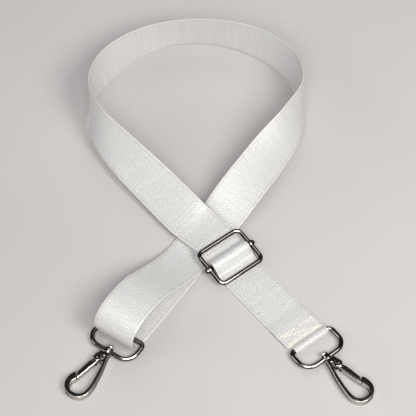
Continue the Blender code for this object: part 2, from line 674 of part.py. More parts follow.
def build_spring(tag, mat, pivot_empty):
    """Torsion spring round the pin, one leg in the window and one behind the gate."""
    name = "gate_spring_" + tag
    curve = bpy.data.curves.new(name, "CURVE")
    curve.dimensions = "3D"
    curve.bevel_depth = SPRING_WIRE
    curve.bevel_resolution = 1
    curve.use_fill_caps = True
    rest = WINDOW_LEFT + PIVOT_ACROSS - SPRING_LEG_CLEARANCE
    low = -SPRING_TURNS * SPRING_PITCH / 2
    points = [(-rest, -SPRING_COIL_RADIUS, low)]
    steps = SPRING_TURNS * COIL_STEPS
    for step in range(steps + 1):
        angle = math.radians(-90) + (SPRING_TURNS * math.tau + math.pi / 2) * step / steps
        points.append((SPRING_COIL_RADIUS * math.cos(angle), SPRING_COIL_RADIUS * math.sin(angle),
                       low + SPRING_TURNS * SPRING_PITCH * step / steps))
    points.append((SPRING_COIL_RADIUS, SPRING_LEG, -low))
    spline = curve.splines.new("POLY")
    spline.points.add(len(points) - 1)
    for spot, point in enumerate(points):
        spline.points[spot].co = (*point, 1)
    add_object(name, curve, mat, pivot_empty, Matrix.Identity(4))


def build_clip(tag, heading, reach, turned, mats, root):
    """Ring, swivel post, hook, gate, pin and spring at one end of the strap."""
    along = Vector((math.cos(heading), math.sin(heading), 0))
    place = Matrix.Translation(along * reach + UP * RING_BAR_HEIGHT)
    place = place @ Matrix.Rotation(heading - math.radians(90), 4, "Z")
    place = place @ Matrix.Rotation(-CLIP_TILT, 4, "X")
    clip = add_empty("clip_" + tag, place, root)
    swivel_place = Matrix.Translation((0, BAR_TO_SWIVEL, 0))
    if turned:
        swivel_place = swivel_place @ Matrix.Rotation(math.pi, 4, "Y")
    swivel = add_empty("swivel_" + tag, swivel_place, clip)
    pivot = add_empty("pivot_" + tag,
                      Matrix.Translation((PIVOT_ACROSS, HEAD_START + PIVOT_ALONG, 0)), swivel)
    build_ring(tag, mats["ring"], clip)
    build_post(tag, mats["post"], swivel)
    build_hook_body(tag, mats["hook"], swivel)
    build_gate(tag, mats["gate"], pivot)
    build_pin(tag, mats["pin"], pivot)
    build_spring(tag, mats["spring"], pivot)


def centre_on_table(root):
    """Move the whole strap so that the middle of its footprint is the origin."""
    bpy.context.view_layer.update()
    graph = bpy.context.evaluated_depsgraph_get()
    corners = []
    for obj in bpy.context.scene.objects:
        if obj.type in {"MESH", "CURVE"} and not obj.hide_render:
            shape = obj.evaluated_get(graph)
            mesh = shape.to_mesh()
            corners += [obj.matrix_world @ vert.co for vert in mesh.vertices]
            shape.to_mesh_clear()
    for axis in range(2):
        values = [corner[axis] for corner in corners]
        root.location[axis] -= (min(values) + max(values)) / 2
    root.location.z -= min(corner.z for corner in corners)


def main():
    clear_scene()
    fabric = material("ivory_webbing", (0.80, 0.79, 0.76), 0.55, 0.0)
    thread = material("cream_thread", (0.82, 0.77, 0.62), 0.6, 0.0)
    mats = {
        "ring": material("ring_metal", (0.36, 0.34, 0.32), 0.16, 1.0),
        "post": material("post_metal", (0.42, 0.40, 0.38), 0.2, 1.0),
        "hook": material("hook_metal", (0.33, 0.31, 0.29), 0.16, 1.0),
        "gate": material("gate_metal", (0.38, 0.35, 0.33), 0.18, 1.0),
        "pin": material("pin_metal", (0.45, 0.44, 0.42), 0.25, 1.0),
        "spring": material("spring_steel", (0.52, 0.51, 0.49), 0.3, 1.0)}
    slider = material("slider_metal", (0.34, 0.32, 0.30), 0.16, 1.0)
    root = add_empty("strap_root", Matrix.Identity(4))
    build_webbing(fabric, root)
    lift = HALF_THICKNESS + SEAT_GAP + THREAD_RADIUS
    start = CROSSING_TO_RING_B - STITCH_START - STITCH_LENGTH
    rows = [(start, LAYERS[1] + lift), (start + STITCH_LENGTH, LAYERS[1] + lift)]
    build_stitching("ring_end_stitching", thread, root, rows, STITCH_STROKES)
    rows = [(CROSSING_TO_SLIDER - reach, tail_height(reach) - lift)
            for reach in (BAR_STITCH_NEAR, BAR_STITCH_FAR)]
    build_stitching("bar_end_stitching", thread, root, rows, BAR_STITCH_STROKES)
    build_slider(slider, root)
    build_clip("a", RETURN_HEADING, CROSSING_TO_RING_A, False, mats, root)
    build_clip("b", STRAND_HEADING, CROSSING_TO_RING_B, True, mats, root)
    centre_on_table(root)


main()
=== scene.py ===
# %% [markdown]
# A detachable bag strap lies on a pale table: one ivory webbing in an open loop, a wire
# slider, and a swivel snap hook on an oval ring at each end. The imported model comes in
# first as a fixed frame, so every piece below lands where the real part has it.
# %% Load the frame
from math import asin, atan, cos, degrees, exp, hypot, pi, radians, sin, sqrt, tau

import bmesh
import bpy
from mathutils import Matrix, Vector, noise


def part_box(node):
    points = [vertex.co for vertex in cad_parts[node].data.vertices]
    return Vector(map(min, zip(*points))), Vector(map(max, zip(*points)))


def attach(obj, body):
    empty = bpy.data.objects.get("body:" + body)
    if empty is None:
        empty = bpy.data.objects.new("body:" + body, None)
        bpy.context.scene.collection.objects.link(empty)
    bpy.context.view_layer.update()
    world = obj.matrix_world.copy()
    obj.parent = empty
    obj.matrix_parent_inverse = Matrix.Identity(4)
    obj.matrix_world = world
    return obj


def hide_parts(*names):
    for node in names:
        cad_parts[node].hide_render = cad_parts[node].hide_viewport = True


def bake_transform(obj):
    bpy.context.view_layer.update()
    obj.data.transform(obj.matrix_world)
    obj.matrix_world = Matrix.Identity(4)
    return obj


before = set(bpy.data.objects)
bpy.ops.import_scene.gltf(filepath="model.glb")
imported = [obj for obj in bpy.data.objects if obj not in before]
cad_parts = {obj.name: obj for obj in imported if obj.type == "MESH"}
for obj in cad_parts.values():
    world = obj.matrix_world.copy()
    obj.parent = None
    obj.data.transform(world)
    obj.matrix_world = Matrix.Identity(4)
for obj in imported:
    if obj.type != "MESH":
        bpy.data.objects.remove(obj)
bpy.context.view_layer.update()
scene = bpy.context.scene

# %% [markdown]
# Each look below is a tree of nodes. The helpers place a node and feed its inputs, and
# cover the steps that come back in many trees: sums, ramps, noise and a change of range.
# %% Helpers for objects and nodes


def new_object(name, data):
    """Object in the scene that shows a mesh, a curve, a lamp or a camera."""
    obj = bpy.data.objects.new(name, data)
    scene.collection.objects.link(obj)
    return obj


def feed(tree, node, values):
    """Link or set a node's inputs. A plain colour is given without its alpha."""
    for name, value in values.items():
        socket = node.inputs[name]
        if isinstance(value, bpy.types.NodeSocket):
            tree.links.new(value, socket)
        else:
            socket.default_value = (*value, 1) if socket.type == "RGBA" else value


def add_node(tree, kind, values=None, **settings):
    """New node with its settings made first and its inputs fed next."""
    node = tree.nodes.new(kind)
    for name, value in settings.items():
        setattr(node, name, value)
    feed(tree, node, values or {})
    return node


def maths(tree, operation, *values):
    """Result of a math node on sockets or plain numbers."""
    return add_node(tree, "ShaderNodeMath", dict(enumerate(values)), operation=operation).outputs[0]


def ramp(tree, factor, stops):
    """Colour of a ramp through stops of a position and a colour."""
    node = add_node(tree, "ShaderNodeValToRGB", {"Fac": factor})
    levels = node.color_ramp.elements
    for spot, (position, color) in enumerate(stops):
        level = levels[spot] if spot < 2 else levels.new(position)
        level.position, level.color = position, (*color, 1)
    return node.outputs["Color"]


def cloud(tree, place, scale, detail=2.0, **settings):
    """Soft noise at a place, with its scale in clouds to the metre."""
    values = {"Vector": place, "Scale": scale, "Detail": detail}
    return add_node(tree, "ShaderNodeTexNoise", values, **settings).outputs["Fac"]


def remap(tree, value, low, high, start=0.0):
    """Value between two levels spread from a start to 1, and held beyond them."""
    values = {"Value": value, "From Min": low, "From Max": high, "To Min": start}
    return add_node(tree, "ShaderNodeMapRange", values).outputs["Result"]


def new_group(name, kind, inputs, outputs):
    """Empty node group and its incoming sockets; each socket has a kind or a first value."""
    group = bpy.data.node_groups.new(name, kind)
    for side, sockets in (("INPUT", inputs), ("OUTPUT", outputs)):
        for label, start in sockets.items():
            is_kind = isinstance(start, str)
            kind_name = "NodeSocket" + (start if is_kind else "Float")
            socket = group.interface.new_socket(name=label, in_out=side, socket_type=kind_name)
            if not is_kind:
                socket.default_value = start
    return group, add_node(group, "NodeGroupInput").outputs


print("helpers for nodes are ready")

# %% [markdown]
# The photo looks down at the table from the front at 52 degrees, from 1.2 m away. A long
# lens, written here as its field of view, keeps the strap nearly free of perspective.
# %% Camera
VIEW_CENTRE = Vector((-0.0088, -0.0016, 0))
VIEW_ELEVATION = radians(52)
VIEW_DISTANCE = 1.2
VIEW_ANGLE = radians(17.41)
camera = new_object("photo_camera", bpy.data.cameras.new("photo_camera"))
to_camera = Vector((0, -cos(VIEW_ELEVATION), sin(VIEW_ELEVATION)))
camera.location = VIEW_CENTRE + to_camera * VIEW_DISTANCE
camera.rotation_euler = (pi / 2 - VIEW_ELEVATION, 0, 0)
camera.data.sensor_fit = "HORIZONTAL"
camera.data.angle = VIEW_ANGLE
camera.data.clip_start = 0.01
scene.camera = camera
scene.view_settings.view_transform = "Standard"
print("camera at", [round(value, 3) for value in camera.location])

# %% [markdown]
# Product photos of polished metal are lit by soft boxes in a room kept dark. The boxes give
# the wires their pale lines, and the dark room, with painted dark edges in the metal, their
# black ones. The world therefore sends a plain soft light, while shiny things see a dark
# room in it, with a wide glow overhead and a low band of panels all round.
# %% World and lamps
GLOW_AZIMUTH, GLOW_ELEVATION = -52, 70
PANEL = (0.40, 0.40, 0.384)
LAMP_DISTANCE = 1.6
LAMPS = [
    ("key", -42, 45, 0.7, 16.5, (1.0, 1.0, 0.99)), ("top", -95, 46, 0.8, 13.5, (1.0, 1.0, 1.0)),
    ("left", -172, 22, 0.8, 4.6, (1.0, 1.0, 1.0)), ("rim", 90, 45, 0.8, 5.0, (1.0, 1.0, 1.0))]
world = bpy.data.worlds.new("studio")
scene.world = world
world.use_nodes = True
sky = world.node_tree
sky.nodes.clear()


def bearing(azimuth, elevation):
    """Direction from the strap, by its bearing and its height above the table in degrees."""
    turn, rise = radians(azimuth), radians(elevation)
    return Vector((cos(turn) * cos(rise), sin(turn) * cos(rise), sin(rise)))


def background(color, strength=1.0):
    return add_node(sky, "ShaderNodeBackground", {"Color": color, "Strength": strength}).outputs[0]


def choose(ray, other, same):
    """One light for all other rays and another for the rays of one kind."""
    return add_node(sky, "ShaderNodeMixShader", {0: rays[ray], 1: other, 2: same}).outputs[0]


toward = add_node(sky, "ShaderNodeTexCoord").outputs["Generated"]
axis = bearing(GLOW_AZIMUTH, GLOW_ELEVATION)
closeness = add_node(sky, "ShaderNodeVectorMath", {0: toward, 1: axis}, operation="DOT_PRODUCT")
overhead = ramp(sky, closeness.outputs["Value"], [
    (0.0, (0.020, 0.020, 0.019)), (0.35, (0.008, 0.008, 0.00776)), (0.72, (0.010, 0.010, 0.0097)),
    (0.82, (0.06, 0.06, 0.0582)), (0.88, (0.60, 0.60, 0.582)), (0.93, (0.90, 0.90, 0.88))])
height = add_node(sky, "ShaderNodeSeparateXYZ", {0: toward}).outputs["Z"]
around = ramp(sky, height, [(0.10, (0, 0, 0)), (0.18, PANEL), (0.30, PANEL), (0.40, (0, 0, 0))])
panels = add_node(sky, "ShaderNodeVectorMath", {0: overhead, 1: around}, operation="ADD").outputs["Vector"]
rays = add_node(sky, "ShaderNodeLightPath").outputs
light = choose("Is Glossy Ray", background((1.0, 1.0, 1.0), 0.22), background(panels, 2.6))
light = choose("Is Camera Ray", light, background((0.66, 0.645, 0.63)))
add_node(sky, "ShaderNodeOutputWorld", {"Surface": light})

for name, azimuth, elevation, size, power, color in LAMPS:
    lamp = new_object(name, bpy.data.lights.new(name, "AREA"))
    lamp.data.size, lamp.data.energy, lamp.data.color = size, power, color
    lamp.location = VIEW_CENTRE + bearing(azimuth, elevation) * LAMP_DISTANCE
    lamp.rotation_euler = (VIEW_CENTRE - lamp.location).to_track_quat("-Z", "Y").to_euler()
    lamp.visible_glossy = name != "rim"

# %% [markdown]
# The table is a plain pale sheet. It is a stage, not part of the strap. Its tone is a
# painted light falloff, lighter towards the right and the back, with soft clouds over it so
# that a large even area doesn't look like flat paint.
# %% Table
TABLE_REACH = 4.0
TABLE_LEVEL = -0.0002


def new_material(name):
    """Node material, its tree and its Principled shader."""
    mat = bpy.data.materials.new(name)
    mat.use_nodes = True
    return mat, mat.node_tree, mat.node_tree.nodes["Principled BSDF"]


def own_place(tree):
    return add_node(tree, "ShaderNodeTexCoord").outputs["Object"]


table_mat, tree, shader = new_material("pale_table")
place = own_place(tree)
# Painted light falloff: the tone grows lighter towards the right and the back of the table.
drift = add_node(tree, "ShaderNodeVectorMath", {0: place, 1: (1.1, 1.9, 0)}, operation="DOT_PRODUCT")
level = maths(tree, "ADD", drift.outputs["Value"], cloud(tree, place, 5.0))
painted_falloff_tone = ramp(tree, level, [(0.0, (0.495, 0.478, 0.471)), (1.0, (0.565, 0.548, 0.540))])
feed(tree, shader, {"Base Color": painted_falloff_tone, "Roughness": 0.85, "Specular IOR Level": 0.15})
mesh = bpy.data.meshes.new("table")
corners = [(x * TABLE_REACH, y * TABLE_REACH, TABLE_LEVEL) for x, y in ((-1, -1), (1, -1), (1, 1), (-1, 1))]
mesh.from_pydata(corners, [], [(0, 1, 2, 3)])
table = new_object("table", mesh)
mesh.materials.append(table_mat)
print("table reaches", TABLE_REACH, "m each way")

# %% [markdown]
# Three shader groups are shared. The weave lays rows of small yarn bumps over a band, the
# grain breaks up a finish with fine and broad noise, and the polish lines are the hairline
# marks that polishing leaves in metal. Each is built once and placed with its own values.
# %% Shared shader groups


def build_weave_group():
    """Rows of yarn bumps from a band's own coordinates, in metres across and along."""
    tree, given = new_group("yarn_rows", "ShaderNodeTree",
                            {"Band": "Vector", "End Pitch": 0.00125, "Pick Pitch": 0.00175, "Edge": 0.0169},
                            dict.fromkeys(("Height", "Groove", "Selvedge", "Rim"), "Float"))

    def do(operation, *values):
        return maths(tree, operation, *values)

    def wave(turns):
        """Swing between 0 and 1, once in each turn."""
        return do("MULTIPLY_ADD", do("SINE", do("MULTIPLY", turns, tau)), 0.5, 0.5)

    split = add_node(tree, "ShaderNodeSeparateXYZ", {0: given["Band"]}).outputs
    ends = do("DIVIDE", split["X"], given["End Pitch"])
    crown = do("SINE", do("MULTIPLY", do("FRACT", ends), pi))
    picks = do("DIVIDE", split["Y"], given["Pick Pitch"])
    picks = do("MULTIPLY_ADD", cloud(tree, given["Band"], 160.0, 1.0), 1.6, picks)
    shifted = do("ADD", picks, do("MULTIPLY", do("FLOOR", ends), 0.5))
    yarn = do("MULTIPLY", wave(shifted), crown)
    height = do("MULTIPLY_ADD", wave(picks), 0.45, do("MULTIPLY", yarn, 0.75))
    uneven = remap(tree, cloud(tree, given["Band"], 420.0), 0.35, 0.65, 0.75)
    # Masks for painted shade in the grooves and along the line beside the edge bead, and for a painted
    # highlight on the bead's rim.
    groove_shade = do("POWER", do("MAXIMUM", do("SUBTRACT", 1.0, height), 0.0), 1.25)
    off = do("SUBTRACT", do("ABSOLUTE", split["X"]), given["Edge"])
    line = do("MINIMUM", do("DIVIDE", do("ABSOLUTE", off), 0.0005), 1.0)
    line = do("MULTIPLY", do("SUBTRACT", 1.0, line), 0.6)
    painted_edge_ramp = do("DIVIDE", do("SUBTRACT", off, 0.0012), 0.0006)
    add_node(tree, "NodeGroupOutput", {
        "Height": height, "Groove": do("MULTIPLY", groove_shade, uneven), "Selvedge": do("MULTIPLY", line, uneven),
        "Rim": do("MINIMUM", do("MAXIMUM", painted_edge_ramp, 0.0), 0.12)})
    return tree


def build_grain_group():
    """Fine noise and broad cloudiness on any surface."""
    tree, given = new_group("soft_grain", "ShaderNodeTree",
                            {"Place": "Vector", "Fine Scale": 900.0, "Broad Scale": 35.0},
                            {"Fine": "Float", "Broad": "Float"})
    add_node(tree, "NodeGroupOutput", {
        word: cloud(tree, given["Place"], given[word + " Scale"], detail)
        for word, detail in (("Fine", 2.0), ("Broad", 3.0))})
    return tree


def build_scratch_group():
    """Hairline polishing marks that run in two directions, as a height."""
    tree, given = new_group("polish_lines", "ShaderNodeTree", {"Place": "Vector", "Scale": 400.0},
                            {"Lines": "Float"})
    marks = []
    for turn, stretch in ((0.6, (1.0, 14.0, 1.0)), (-0.9, (11.0, 1.0, 1.0))):
        values = {"Vector": given["Place"], "Rotation": (0, 0, turn), "Scale": stretch}
        turned = add_node(tree, "ShaderNodeMapping", values).outputs["Vector"]
        marks.append(cloud(tree, turned, given["Scale"], 1.0))
    add_node(tree, "NodeGroupOutput", {"Lines": maths(tree, "MULTIPLY", *marks)})
    return tree


weave_group = build_weave_group()
grain_group = build_grain_group()
scratch_group = build_scratch_group()
print("shader groups:", [group.name for group in (weave_group, grain_group, scratch_group)])

# %% [markdown]
# Ivory webbing is woven from bright polyester yarn: near white, with a satin sheen on each
# yarn. Painted shade, dark and a little warm, lies in the grooves of the weave and along the
# line beside each edge bead, with a painted highlight on the bead's rim. The pattern reads
# the band's own map, laid out in metres, so its rows follow every bend and never slide.
# %% Webbing and thread materials


def use_group(tree, group, values):
    return add_node(tree, "ShaderNodeGroup", values, node_tree=group).outputs


def grain_on(tree, fine, broad):
    """Outputs of the grain group on the piece's own coordinates."""
    return use_group(tree, grain_group, {"Place": own_place(tree), "Fine Scale": fine, "Broad Scale": broad})


def mix_color(tree, factor, *colors):
    """Mix of two colours, each a socket or a plain colour."""
    node = add_node(tree, "ShaderNodeMix", {"Factor": factor}, data_type="RGBA")
    spots = [spot for spot, item in enumerate(node.inputs) if item.type == "RGBA"]
    feed(tree, node, dict(zip(spots, colors)))
    return next(item for item in node.outputs if item.type == "RGBA")


def bump(tree, height, strength, distance):
    values = {"Height": height, "Strength": strength, "Distance": distance}
    return add_node(tree, "ShaderNodeBump", values).outputs["Normal"]


webbing_mat, tree, shader = new_material("ivory_webbing_weave")
band = add_node(tree, "ShaderNodeUVMap", uv_map="band").outputs["UV"]
weave = use_group(tree, weave_group, {"Band": band})
grain = grain_on(tree, 1500.0, 30.0)
stretched = add_node(tree, "ShaderNodeMapping", {"Vector": band, "Scale": (0.05, 1.0, 1.0)}).outputs["Vector"]
bars = [remap(tree, cloud(tree, stretched, scale, noise_dimensions="2D"), low, high)
        for scale, low, high in ((520.0, 0.40, 0.66), (150.0, 0.38, 0.64))]
faint = maths(tree, "MULTIPLY_ADD", bars[0], 0.36, maths(tree, "MULTIPLY", bars[1], 0.18))
yarn = mix_color(tree, grain["Broad"], (0.850, 0.842, 0.832), (0.880, 0.874, 0.866))
# Painted shade goes into the grooves and the edge line, and a painted highlight onto the rim.
for share, color in ((weave["Groove"], (0.290, 0.275, 0.265)), (faint, (0.540, 0.525, 0.515)),
                     (weave["Selvedge"], (0.340, 0.320, 0.300)), (weave["Rim"], (0.930, 0.925, 0.915))):
    yarn = mix_color(tree, share, yarn, color)
level = maths(tree, "MULTIPLY_ADD", grain["Fine"], 0.25, weave["Height"])
level = maths(tree, "MULTIPLY_ADD", bars[0], -0.5, level)
across = add_node(tree, "ShaderNodeTangent", direction_type="UV_MAP", uv_map="band").outputs["Tangent"]
feed(tree, shader, {
    "Base Color": yarn, "Roughness": maths(tree, "MULTIPLY_ADD", grain["Fine"], 0.12, 0.34),
    "Specular IOR Level": 1.0, "Anisotropic": 0.8, "Tangent": across, "Sheen Weight": 0.15,
    "Sheen Roughness": 0.4, "Normal": bump(tree, level, 0.55, 0.00018)})

thread_mat, tree, shader = new_material("cream_sewing_thread")
grain = grain_on(tree, 5000.0, 260.0)
feed(tree, shader, {
    "Base Color": mix_color(tree, grain["Broad"], (0.82, 0.77, 0.62), (0.86, 0.83, 0.74)),
    "Roughness": maths(tree, "MULTIPLY_ADD", grain["Fine"], 0.2, 0.38),
    "Sheen Weight": 0.2, "Normal": bump(tree, grain["Fine"], 0.5, 0.00008)})
print("cloth materials:", webbing_mat.name, thread_mat.name)

# %% [markdown]
# The hardware is zinc and steel plated with dark nickel and polished. A metal's colour is
# the colour of its reflections, so the base stays a near neutral grey. Where the surface
# turns from the eye, a painted dark reflection is mixed into the base colour to give the
# wires and rims their black outlines. Low roughness, faint polishing lines and cloudy
# patches where hands have dulled it do the rest.
# %% Metal materials
PAINTED_EDGE_DARK = (0.035, 0.032, 0.029)


def plated_metal(name, dark, light, rough, lines, painted_edge_ramp=(0.6, 0.9)):
    """Polished plating with hairlines and dulled patches, painted dark where it turns away."""
    mat, tree, shader = new_material(name)
    grain = grain_on(tree, 1400.0, 110.0)
    marks = use_group(tree, scratch_group, {"Place": own_place(tree)})["Lines"]
    # Painted dark reflection: the base colour darkens towards the edges that turn from the eye.
    turned = remap(tree, add_node(tree, "ShaderNodeLayerWeight").outputs["Facing"], *painted_edge_ramp)
    plating = mix_color(tree, grain["Broad"], dark, light)
    patch = maths(tree, "MULTIPLY", grain["Broad"], marks)
    feed(tree, shader, {
        "Base Color": mix_color(tree, turned, plating, PAINTED_EDGE_DARK),
        "Roughness": maths(tree, "MULTIPLY_ADD", patch, rough, rough * 0.35),
        "Specular Tint": (0.35, 0.33, 0.31), "Metallic": 1.0, "Normal": bump(tree, marks, lines, 0.00002)})
    return mat


ring_mat = plated_metal("ring_nickel", (0.49, 0.458, 0.420), (0.56, 0.526, 0.486), 0.12, 0.08, (0.08, 0.28))
slider_mat = plated_metal("slider_nickel", (0.48, 0.448, 0.410), (0.55, 0.516, 0.476), 0.11, 0.06,
                          (0.03, 0.17))
hook_mat = plated_metal("hook_nickel", (0.67, 0.630, 0.585), (0.75, 0.712, 0.668), 0.12, 0.2)
gate_mat = plated_metal("gate_nickel", (0.66, 0.620, 0.578), (0.74, 0.702, 0.660), 0.12, 0.2)
post_mat = plated_metal("post_nickel", (0.72, 0.690, 0.655), (0.80, 0.770, 0.735), 0.12, 0.1)
pin_mat = plated_metal("pin_steel", (0.50, 0.49, 0.47), (0.60, 0.59, 0.57), 0.32, 0.6)
spring_mat = plated_metal("spring_wire_steel", (0.54, 0.53, 0.51), (0.63, 0.62, 0.60), 0.30, 0.5)
print("metal materials:", ring_mat.name, slider_mat.name, hook_mat.name, gate_mat.name, post_mat.name)

# %% [markdown]
# Every piece ends the same way: its mesh already holds its place, it takes its material,
# rides on its body and stands for its plain solid. One short helper does all of that.
# %% Helpers for pieces


def finish_piece(name, mesh, mat, body, node, smooth=35):
    """Object at the origin that stands for a solid and, unless it blends, rides on a body."""
    mesh.name = name
    for polygon in mesh.polygons:
        polygon.use_smooth = True
    mesh.set_sharp_from_angle(angle=radians(smooth))
    mesh.materials.clear()
    mesh.materials.append(mat)
    obj = new_object(name, mesh)
    if body:
        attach(obj, body)
    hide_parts(node)
    print(name, "has", len(mesh.polygons), "faces")
    return obj


def mesh_from(bm):
    """Mesh of a bmesh with its faces turned outward; the bmesh is freed."""
    bmesh.ops.recalc_face_normals(bm, faces=bm.faces)
    mesh = bpy.data.meshes.new("shape")
    bm.to_mesh(mesh)
    bm.free()
    return mesh


def skin(rings):
    """Mesh over a row of equal vertex rings, capped at both ends."""
    bm = bmesh.new()
    rows = [[bm.verts.new(point) for point in ring] for ring in rings]
    bm.faces.new(rows[0])
    bm.faces.new(rows[-1])
    for first, second in zip(rows, rows[1:]):
        for spot in range(len(first)):
            after = (spot + 1) % len(first)
            bm.faces.new((first[spot], first[after], second[after], second[spot]))
    return bm


def baked(obj):
    """Mesh of an object with its modifiers applied; the object itself is removed."""
    bpy.context.view_layer.update()
    graph = bpy.context.evaluated_depsgraph_get()
    mesh = bpy.data.meshes.new_from_object(obj.evaluated_get(graph))
    bpy.data.objects.remove(obj, do_unlink=True)
    return mesh


def combine(base, tools):
    """Join or cut a mesh with others in turn and return the result."""
    obj = new_object("work", base)
    helpers = []
    for operation, mesh in tools:
        helper = new_object("helper", mesh)
        helpers.append(helper)
        step = obj.modifiers.new(operation, "BOOLEAN")
        step.operation = operation
        step.solver = "EXACT"
        step.object = helper
    mesh = baked(obj)
    for helper in helpers:
        bpy.data.objects.remove(helper, do_unlink=True)
    return mesh


def bevelled(mesh, width, segments, angle):
    obj = new_object("work", mesh)
    step = obj.modifiers.new("edge", "BEVEL")
    step.width = width
    step.segments = segments
    step.limit_method = "ANGLE"
    step.angle_limit = radians(angle)
    return baked(obj)


def catmull(points, step):
    """Even points on a smooth curve through tuples of equal length."""
    padded = [points[0], *points, points[-1]]
    result = []
    for index in range(1, len(padded) - 2):
        p0, p1, p2, p3 = (Vector(value) for value in padded[index - 1:index + 3])
        span = (p2 - p1).to_3d().length
        for part in range(max(2, round(span / step))):
            t = part / max(2, round(span / step))
            result.append(0.5 * (2 * p1 + (p2 - p0) * t + (2 * p0 - 5 * p1 + 4 * p2 - p3) * t ** 2
                                 + (3 * p1 - p0 - 3 * p2 + p3) * t ** 3))
    result.append(Vector(points[-1]))
    return result


def soften(points, step):
    return [point.to_3d() for point in catmull([tuple(point) for point in points], step)]


def spread(start, end, step):
    """Even values from start to end, both kept."""
    count = max(1, round(abs(end - start) / step))
    return [start + (end - start) * part / count for part in range(count + 1)]


def smooth(share):
    share = min(max(share, 0.0), 1.0)
    return share * share * (3 - 2 * share)


# %% [markdown]
# The webbing is 38 mm wide and about 1.1 mm thick. Its two flat strands cross, and every
# height below is counted in layers, as the band is stacked on itself with a hair of air
# between. These are the sizes the solids were made from, repeated in metres.
# %% Sizes of the webbing and the slider
WIDTH = 0.038
THICKNESS = 0.0011
GAP = 0.0003
PITCH = THICKNESS + GAP
LAYERS = [THICKNESS / 2 + count * PITCH for count in range(5)]
STRAND_HEADING = radians(-51.7)
RETURN_HEADING = radians(-123.9)
UP = Vector((0, 0, 1))
STRAND = Vector((cos(STRAND_HEADING), sin(STRAND_HEADING), 0))
RETURN = Vector((cos(RETURN_HEADING), sin(RETURN_HEADING), 0))
TO_RING_B = 0.1378
TO_RING_A = 0.1216
TO_SLIDER = 0.0336
FRAME_WIRE = 0.0018
BAR_WIRE = 0.0015
RING_WIRE = 0.0018
RING_BAR_HEIGHT = THICKNESS + GAP + RING_WIRE
WRAP_SLACK = 0.00015
RING_WRAP = RING_WIRE + GAP + THICKNESS / 2 + WRAP_SLACK
WRAP_SHIFT = 0.0006
WRAP_DROP = 0.0055
PINCH, PINCH_REACH = 0.09, 0.005
SEWN_TAIL = 0.021
TAIL_DROP = 0.014
FRAME_HALF_LENGTH = 0.0385 / 2 - FRAME_WIRE
LOW_REACH = FRAME_HALF_LENGTH + 0.004
BUMP_REACH = 0.010
FRAME_DROP = FRAME_WIRE + GAP + THICKNESS / 2
WRAP_RADIUS = BAR_WIRE + GAP + THICKNESS / 2
LOW_HEIGHT = LAYERS[0] + FRAME_DROP
SLOPE = (LAYERS[4] + FRAME_DROP - LOW_HEIGHT) / (LOW_REACH + BUMP_REACH)
BAR_HEIGHT = LOW_HEIGHT + LOW_REACH * SLOPE
FLAT_LEAD = 0.015
BAR_TAIL = 0.013
BAR_WRAP_REACH = 0.008
lo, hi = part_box("slider_frame")
ORIGIN = Vector((((lo + hi) / 2).x, ((lo + hi) / 2).y, 0)) - STRAND * TO_SLIDER
print("crossing at", [round(value, 5) for value in ORIGIN])

# %% [markdown]
# The route of the band is worked out once as a line of stations: its middle, the way its
# width points and the way its face looks. Straight strands follow a side profile, and the
# free loop stands on edge and leans as it turns. Finer steps than the solid's keep the
# bends round when the light rakes over them.
# %% Profiles of the two strands
FINE = 0.0006


def on_slope(reach, lift=0.0):
    """Point of the band where it slopes through the frame, raised by a lift."""
    return TO_SLIDER - reach, BAR_HEIGHT + reach * SLOPE - FRAME_DROP + lift


def hump(reach, span):
    return cos(pi / 2 * reach / span) ** 2


def tail_height(reach):
    low = BAR_HEIGHT - WRAP_RADIUS
    return low + (LAYERS[2] - low) * smooth(reach / 0.005)


def strand_top(along):
    """Height of the band's middle on the upper strand near ring B."""
    top = LAYERS[0] + RING_WRAP * 2
    return LAYERS[1] + (top - LAYERS[1]) * smooth((along - TO_RING_B + WRAP_DROP) / WRAP_DROP)


def strand_profile():
    """Middle line of the upper strand from the sewn tail at ring B to past the slider."""
    line = [(along, LAYERS[0]) for along in spread(TO_RING_B - SEWN_TAIL, TO_RING_B, 0.0015)]
    for step in range(25):
        angle = radians(-90) + pi * step / 24
        line.append((TO_RING_B + WRAP_SHIFT + RING_WRAP * cos(angle),
                     LAYERS[0] + RING_WRAP * (1 + sin(angle))))
    line += [(along, strand_top(along)) for along in spread(TO_RING_B, TO_RING_B - 0.006, FINE)]
    start = TO_RING_B - SEWN_TAIL - GAP
    line += [(along, LAYERS[1]) for along in spread(TO_RING_B - 0.007, start + 0.001, 0.0025)]
    for along in spread(start, start - TAIL_DROP, FINE):
        line.append((along, LAYERS[0] + PITCH * smooth((along - start + TAIL_DROP) / TAIL_DROP)))
    line += [(along, LAYERS[0]) for along in spread(start - TAIL_DROP - 0.002, TO_SLIDER + LOW_REACH, 0.0025)]
    rise = WRAP_RADIUS + PITCH + FRAME_DROP + 0.0002
    line += [on_slope(reach) for reach in spread(-LOW_REACH, -BUMP_REACH, 0.002)[1:-1]]
    line += [on_slope(reach, rise * hump(reach, BUMP_REACH))
             for reach in spread(-BUMP_REACH, BUMP_REACH, FINE)]
    return line + [on_slope(reach) for reach in spread(BUMP_REACH, LOW_REACH, 0.002)[1:]]


